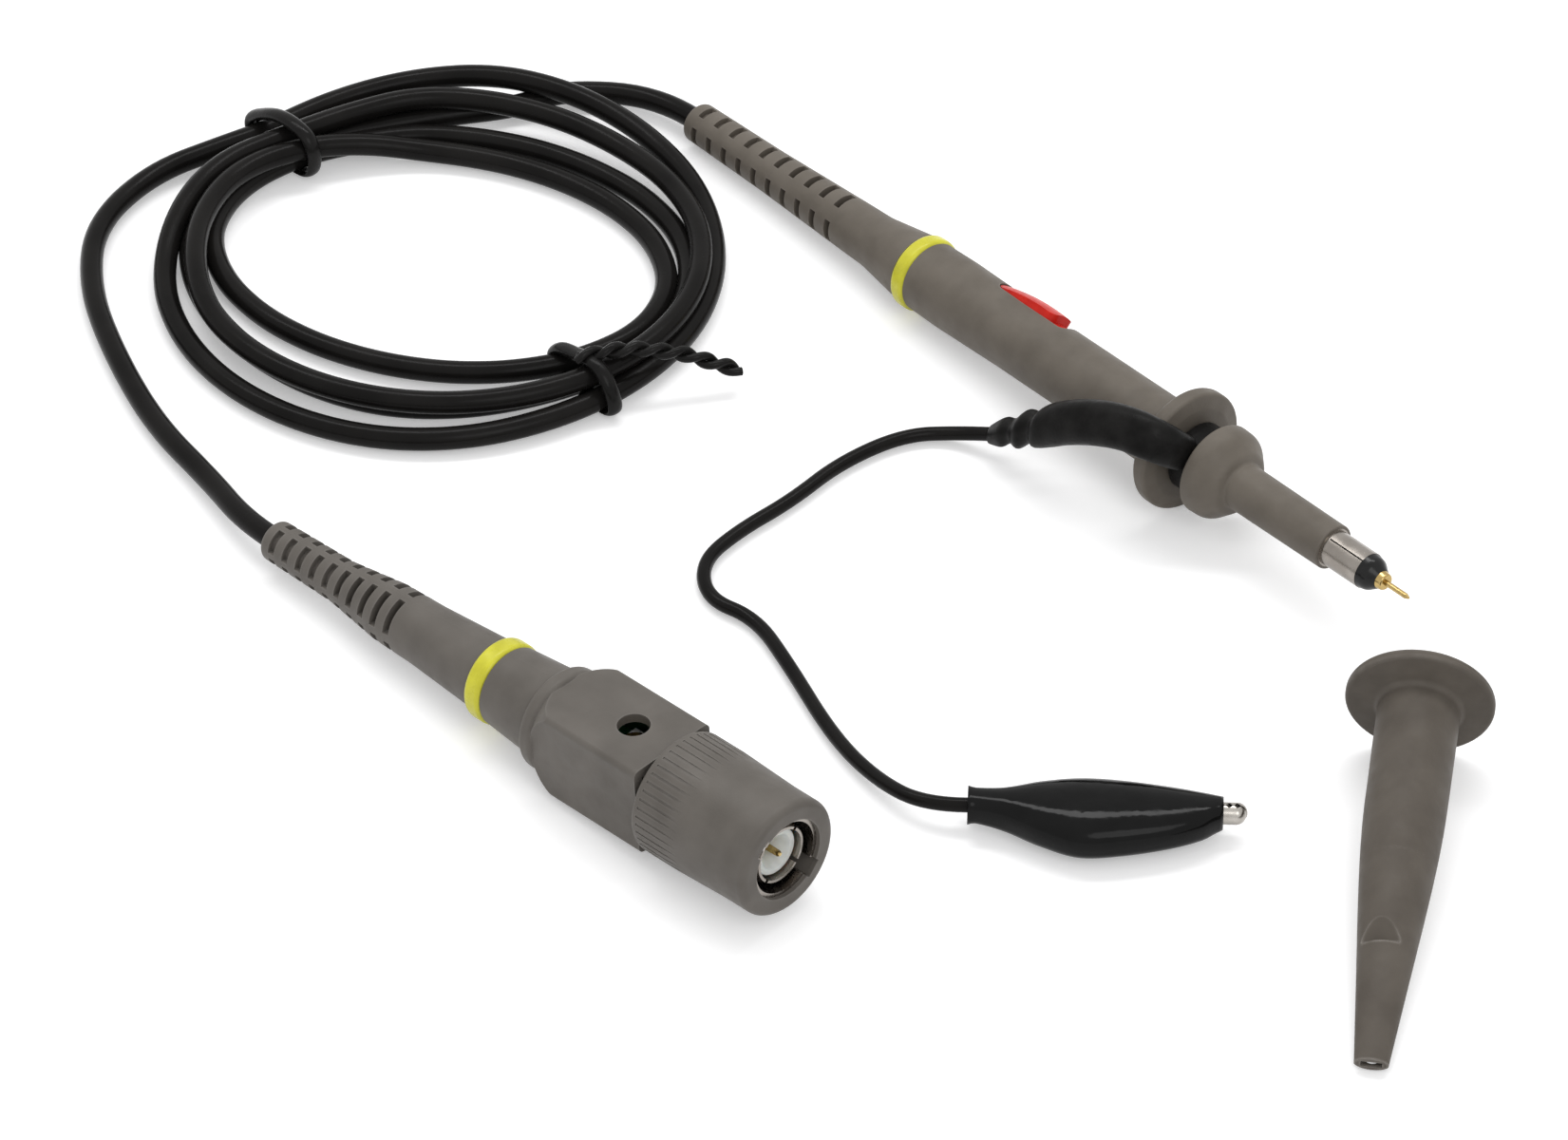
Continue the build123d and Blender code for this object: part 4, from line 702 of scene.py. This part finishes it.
# How far in front of the slit contact's mouth, and how far from the axis, in millimetres.
INSULATOR_OUTLINE = (
    (-17.5, 3.42), (-8.0, 3.42), (-8.0, 3.25), (-0.5, 3.25), (-0.3, 3.1), (-0.3, 2.45), (-0.45, 2.25),
    (-2.4, 1.15), (-6.0, 1.0), (-6.0, 0.72), (-17.5, 0.72),
)
PIN_OUTLINE = ((-19.0, 0.68), (-2.6, 0.68), (-2.3, 0.46), (0.1, 0.42), (0.4, 0.24))
TURNED_SIDES, CRISP_CORNER = 56, math.radians(30)


def mount(name):
    return next(place for place in frame["record"]["mounts"] if place["name"] == name)


def outward_from(axis, turns):
    """The direction square to an axis, so many turns round it."""
    side = axis.orthogonal().normalized()
    angle = 2 * math.pi * turns
    return side * math.cos(angle) + axis.cross(side) * math.sin(angle)


def turned_piece(name, foot, axis, outline, closed):
    """An outline of (along, radius) millimetres turned about an axis, its corners kept crisp."""
    directions = [outward_from(axis, i / TURNED_SIDES) for i in range(TURNED_SIDES)]
    rings = [
        [foot + (axis * along + outward * radius) / 1000 for outward in directions]
        for along, radius in outline
    ]
    piece = ring_mesh(name, rings, closed)
    piece.data.set_sharp_from_angle(angle=CRISP_CORNER)
    return piece


plug = mount("bnc_plug")
plug_axis = Vector(plug["axis"]).normalized()
contact_mouth = Vector(plug["pos_m"]) + plug_axis * plug["dims"]["length_mm"] / 2000
for name, node, outline, hollow, material, slot in (
    ("plug_insulator", "bnc_dielectric", INSULATOR_OUTLINE, True, fluoropolymer, "white_dielectric"),
    ("plug_pin", "bnc_centre_pin", PIN_OUTLINE, False, gold_plate, "gold"),
):
    turned = turned_piece(name, contact_mouth, plug_axis, outline, hollow)
    turned.data.materials.append(material)
    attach(turned, "probe_set")
    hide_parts(node)


# ---- Hook tip ---------------------------------------------------------------------------------------
# The push-on tip: a darker satin sleeve with a finger flange slides on the core that grips the
# probe's nose, against a spring, and bares the sprung wire hook at its flat end.
HOOK_DEGREES = -49.5
hook_plastic = finish(
    "hook_plastic", dark=(0.086, 0.074, 0.062), light=(0.108, 0.094, 0.079), patch=5,
    polish=(0.46, 0.60), tooth=0.2, depth=0.010, turn=HOOK_DEGREES, Specular_IOR_Level=0.13,
)
# Paler notch lip and flange rim: mostly a painted highlight where light catches them, with some wear.
wear_and_painted_highlight_edges(hook_plastic, paler=(0.27, 0.25, 0.228), reach=0.6, strength=0.85)
dress(hook_plastic, "hook_sleeve", "hook_core")
dress(spring_steel, "hook_wire")

# The spring between the core's shoulder and the sleeve's step. Here it keeps its length and moves with the hook
# tip as one piece.
SPRING_FROM_SOCKET, SPRING_LENGTH, SPRING_RADIUS, SPRING_WIRE_RADIUS = 0.02365, 0.0096, 0.0017, 0.0002
SPRING_TURNS, SPRING_POINTS_PER_TURN = 7, 16

socket = mount("hook_socket")
hook_axis = -Vector(socket["axis"]).normalized()
spring_rear = Vector(socket["pos_m"]) + hook_axis * SPRING_FROM_SOCKET
spring_route = []
for step in range(SPRING_TURNS * SPRING_POINTS_PER_TURN + 1):
    turns = step / SPRING_POINTS_PER_TURN
    outward = outward_from(hook_axis, turns)
    along = hook_axis * SPRING_LENGTH * turns / SPRING_TURNS
    spring_route.append(spring_rear + along + outward * SPRING_RADIUS)
hook_coil_spring = wire_piece(
    "hook_coil_spring", spring_route, laid_wires, Wire_radius=SPRING_WIRE_RADIUS, Finish=spring_steel,
)
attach(hook_coil_spring, "hook_tip")
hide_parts("hook_spring")
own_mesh(hook_coil_spring)


# ---- Ground clamp and lead --------------------------------------------------------------------------
# A sprung ring snaps into the groove behind the nose and can turn in it. The black moulding over it
# ends in small beads, where the thin stranded lead comes out to run to the clip.
GROUND_LEAD = [
    (-0.0210, 0.0324, 0.0030), (-0.0254, 0.0310, 0.0011), (-0.0300, 0.0252, 0.0010),
    (-0.0311, 0.0150, 0.0010), (-0.0295, 0.0055, 0.0010), (-0.0294, -0.0035, 0.0010),
    (-0.0279, -0.0110, 0.0010), (-0.0220, -0.0150, 0.0010), (-0.0152, -0.0126, 0.0010),
    (-0.0060, -0.0150, 0.0010), (0.0080, -0.0195, 0.0010), (0.0180, -0.0210, 0.0018),
    (0.0263, -0.0203, 0.0031), (0.0299, -0.0164, 0.00325),
]
LEAD_DIAMETER = 0.0019

clamp_rubber = finish(
    "clamp_rubber", dark=(0.006, 0.0057, 0.0055), light=(0.0125, 0.012, 0.0115), patch=2.5,
    polish=(0.30, 0.48), tooth=0.35, depth=0.03, Specular_IOR_Level=0.07,
)
# Paler edges: rubbed wear, and a painted highlight.
wear_and_painted_highlight_edges(clamp_rubber, paler=(0.02, 0.019, 0.018), reach=0.35, strength=0.5)
# The sprung metal ring takes the black rubber finish, not its own metal: painted shade for the dark gap between
# the flanges.
dress(clamp_rubber, "ground_clamp_ring")

# The moulding from the groove over the flange and down beside the barrel, in millimetres: along the
# probe from the groove, out from its axis, degrees round from the top, half width and half thickness.
MOULDING = (
    (0.0, 4.9, 48, 2.4, 1.6), (0.0, 7.0, 48, 2.6, 1.7), (-0.5, 8.9, 48, 2.75, 1.85),
    (-1.9, 10.5, 49, 2.9, 1.95), (-4.6, 11.1, 51, 3.0, 2.1), (-8.5, 11.2, 57, 3.2, 2.4),
    (-12.5, 11.2, 66, 3.35, 2.6),
    (-15.5, 11.25, 75, 3.4, 2.7), (-18.0, 11.45, 83, 3.1, 2.75), (-19.4, 11.65, 87.5, 2.2, 2.0),
    (-21.2, 12.05, 93, 2.65, 2.45), (-22.9, 12.45, 98, 1.7, 1.6), (-24.5, 12.95, 102, 1.95, 1.85),
    (-26.6, 13.7, 107.1, 1.25, 1.2),
)
MOULDING_STEPS, MOULDING_AROUND, SQUARENESS = 8, 32, 2.5
A_LITTLE_ON = 0.05

swivel = next(joint for joint in frame["joints"] if joint["name"] == "clamp_swivel")
probe_axis = -Vector(swivel["axis"]).normalized()
groove_middle = Vector(swivel["pos_m"])
probe_side = Vector((0, -1, 0))
probe_top = probe_side.cross(probe_axis).normalized()


def moulding_station(place):
    """The moulding's five sizes at a place counted in stations, on a smooth line through them."""
    last = len(MOULDING) - 1
    i = min(int(place), last - 1)
    rows = (MOULDING[max(i - 1, 0)], MOULDING[i], MOULDING[i + 1], MOULDING[min(i + 2, last)])
    return [between(*sizes, place - i) for sizes in zip(*rows)]


def squarish_section(count):
    """Places round a section between a circle and a square, of half width and half height 1."""
    places = []
    for i in range(count):
        across, over = math.cos(2 * math.pi * i / count), math.sin(2 * math.pi * i / count)
        size = (abs(across) ** SQUARENESS + abs(over) ** SQUARENESS) ** (-1 / SQUARENESS)
        places.append((across * size, over * size))
    return places


def moulding_ring(place):
    along, out, degrees, half_width, half_thick = moulding_station(place)
    ahead = moulding_station(min(place + A_LITTLE_ON, len(MOULDING) - 1))
    back = moulding_station(max(place - A_LITTLE_ON, 0))
    run = Vector((ahead[0] - back[0], ahead[1] - back[1])).normalized()
    angle = math.radians(degrees)
    outward = probe_side * math.sin(angle) + probe_top * math.cos(angle)
    across = probe_side * math.cos(angle) - probe_top * math.sin(angle)
    centre = groove_middle + (probe_axis * along + outward * out) / 1000
    over = probe_axis * run.y - outward * run.x
    return [
        centre + (across * half_width * wide + over * half_thick * high) / 1000
        for wide, high in squarish_section(MOULDING_AROUND)
    ]


moulding_rings = (len(MOULDING) - 1) * MOULDING_STEPS + 1
clamp_moulding = ring_mesh(
    "clamp_moulding", [moulding_ring(step / MOULDING_STEPS) for step in range(moulding_rings)],
)
clamp_moulding.data.materials.append(clamp_rubber)
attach(clamp_moulding, "ground_clamp")
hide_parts("ground_clamp_boot")

# The lead lies still in one piece from the clamp as far as the clip.
lead_route = smooth_curve("ground_lead_route", GROUND_LEAD, 0.0)
lead_route.data.use_fill_caps = False
lead_line = [tuple(vertex.co) for vertex in plain_mesh_of(lead_route).vertices]
bpy.data.objects.remove(lead_route)
ground_wire = wire_piece(
    "ground_wire", GROUND_LEAD, laid_wires, Wire_radius=LEAD_DIAMETER / 2, Finish=pvc_jacket,
)
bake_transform(ground_wire)
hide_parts("ground_lead")


# ---- Alligator clip ---------------------------------------------------------------------------------
# Two folded nickel-plated jaws on a rivet, sprung shut, with a soft dip-moulded vinyl boot pulled over
# them down to the rounded nose.
CLIP_PLACE, CLIP_DEGREES = Vector(GROUND_LEAD[-1]), 47.0
CLIP_TURN = math.radians(CLIP_DEGREES)
BOOT_WALL = 0.5
# Along the clip: near side, far side and half height, in millimetres.
BOOT_STATIONS = (
    (0.0, -2.3, 2.3, 2.3), (0.9, -2.1, 2.05, 2.1), (4.5, -3.2, 2.1, 2.45), (9.0, -5.7, 3.4, 2.95),
    (13.8, -7.5, 4.2, 3.2), (19.0, -7.0, 4.0, 3.15), (25.0, -5.5, 3.2, 2.8), (29.0, -3.8, 2.4, 2.45),
    (30.8, -2.45, 2.05, 2.1), (31.5, -2.0, 1.95, 1.95),
)
BOOT_STEPS, BOOT_AROUND = 64, 44


def in_clip(x, y, z=0.0):
    along, across = math.cos(CLIP_TURN), math.sin(CLIP_TURN)
    return CLIP_PLACE + Vector((x * along - y * across, x * across + y * along, z)) / 1000


def boot_width(x):
    """Near side, far side and half height, eased from station to station."""
    i = max(k for k in range(len(BOOT_STATIONS) - 1) if BOOT_STATIONS[k][0] <= x)
    start, end = BOOT_STATIONS[i], BOOT_STATIONS[i + 1]
    before, after = BOOT_STATIONS[max(i - 1, 0)], BOOT_STATIONS[min(i + 2, len(BOOT_STATIONS) - 1)]
    step = end[0] - start[0]
    share = (x - start[0]) / step
    widths = []
    for here, there, earlier, later in zip(start[1:], end[1:], before[1:], after[1:]):
        lead_in = (there - earlier) / (end[0] - before[0]) * step
        lead_out = (later - here) / (after[0] - start[0]) * step
        widths.append(
            here * (2 * share**3 - 3 * share**2 + 1) + lead_in * (share**3 - 2 * share**2 + share)
            + there * (3 * share**2 - 2 * share**3) + lead_out * (share**3 - share**2)
        )
    return widths


def boot_ring(x, inset):
    near, far, half = boot_width(x)
    half_width, middle = (far - near) / 2 - inset, (far + near) / 2
    return [
        in_clip(x, middle + half_width * across, (half - inset) * up)
        for across, up in squarish_section(BOOT_AROUND)
    ]


boot_length = BOOT_STATIONS[-1][0]
outside, inside = (
    [boot_ring(boot_length * step / BOOT_STEPS, inset) for step in range(BOOT_STEPS + 1)]
    for inset in (0.0, BOOT_WALL)
)
front_lip, rear_lip = boot_ring(boot_length, BOOT_WALL / 2), boot_ring(0.0, BOOT_WALL / 2)
vinyl_boot = ring_mesh("vinyl_boot", outside + [front_lip] + inside[::-1] + [rear_lip], closed=True)
soft_vinyl = finish(
    "soft_vinyl", dark=(0.0035, 0.0035, 0.0035), light=(0.0065, 0.0065, 0.0065), patch=6,
    polish=(0.07, 0.15), tooth=2.2, depth=0.05, turn=CLIP_DEGREES, Specular_IOR_Level=0.11,
)
vinyl_boot.data.materials.append(soft_vinyl)
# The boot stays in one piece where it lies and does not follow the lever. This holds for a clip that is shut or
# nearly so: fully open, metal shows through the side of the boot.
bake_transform(vinyl_boot)
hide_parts("clip_boot")
clip_nickel = finish(
    "clip_nickel", dark=(0.36, 0.34, 0.31), light=(0.46, 0.435, 0.40), patch=2, polish=(0.18, 0.32),
    tooth=(3, 0.12, 0.12), depth=0.003, turn=CLIP_DEGREES, Metallic=1.0,
)
dress(clip_nickel, "clip_crimp", "clip_fixed_jaw", "clip_lever_jaw", "clip_rivet")
dress(spring_steel, "clip_spring")
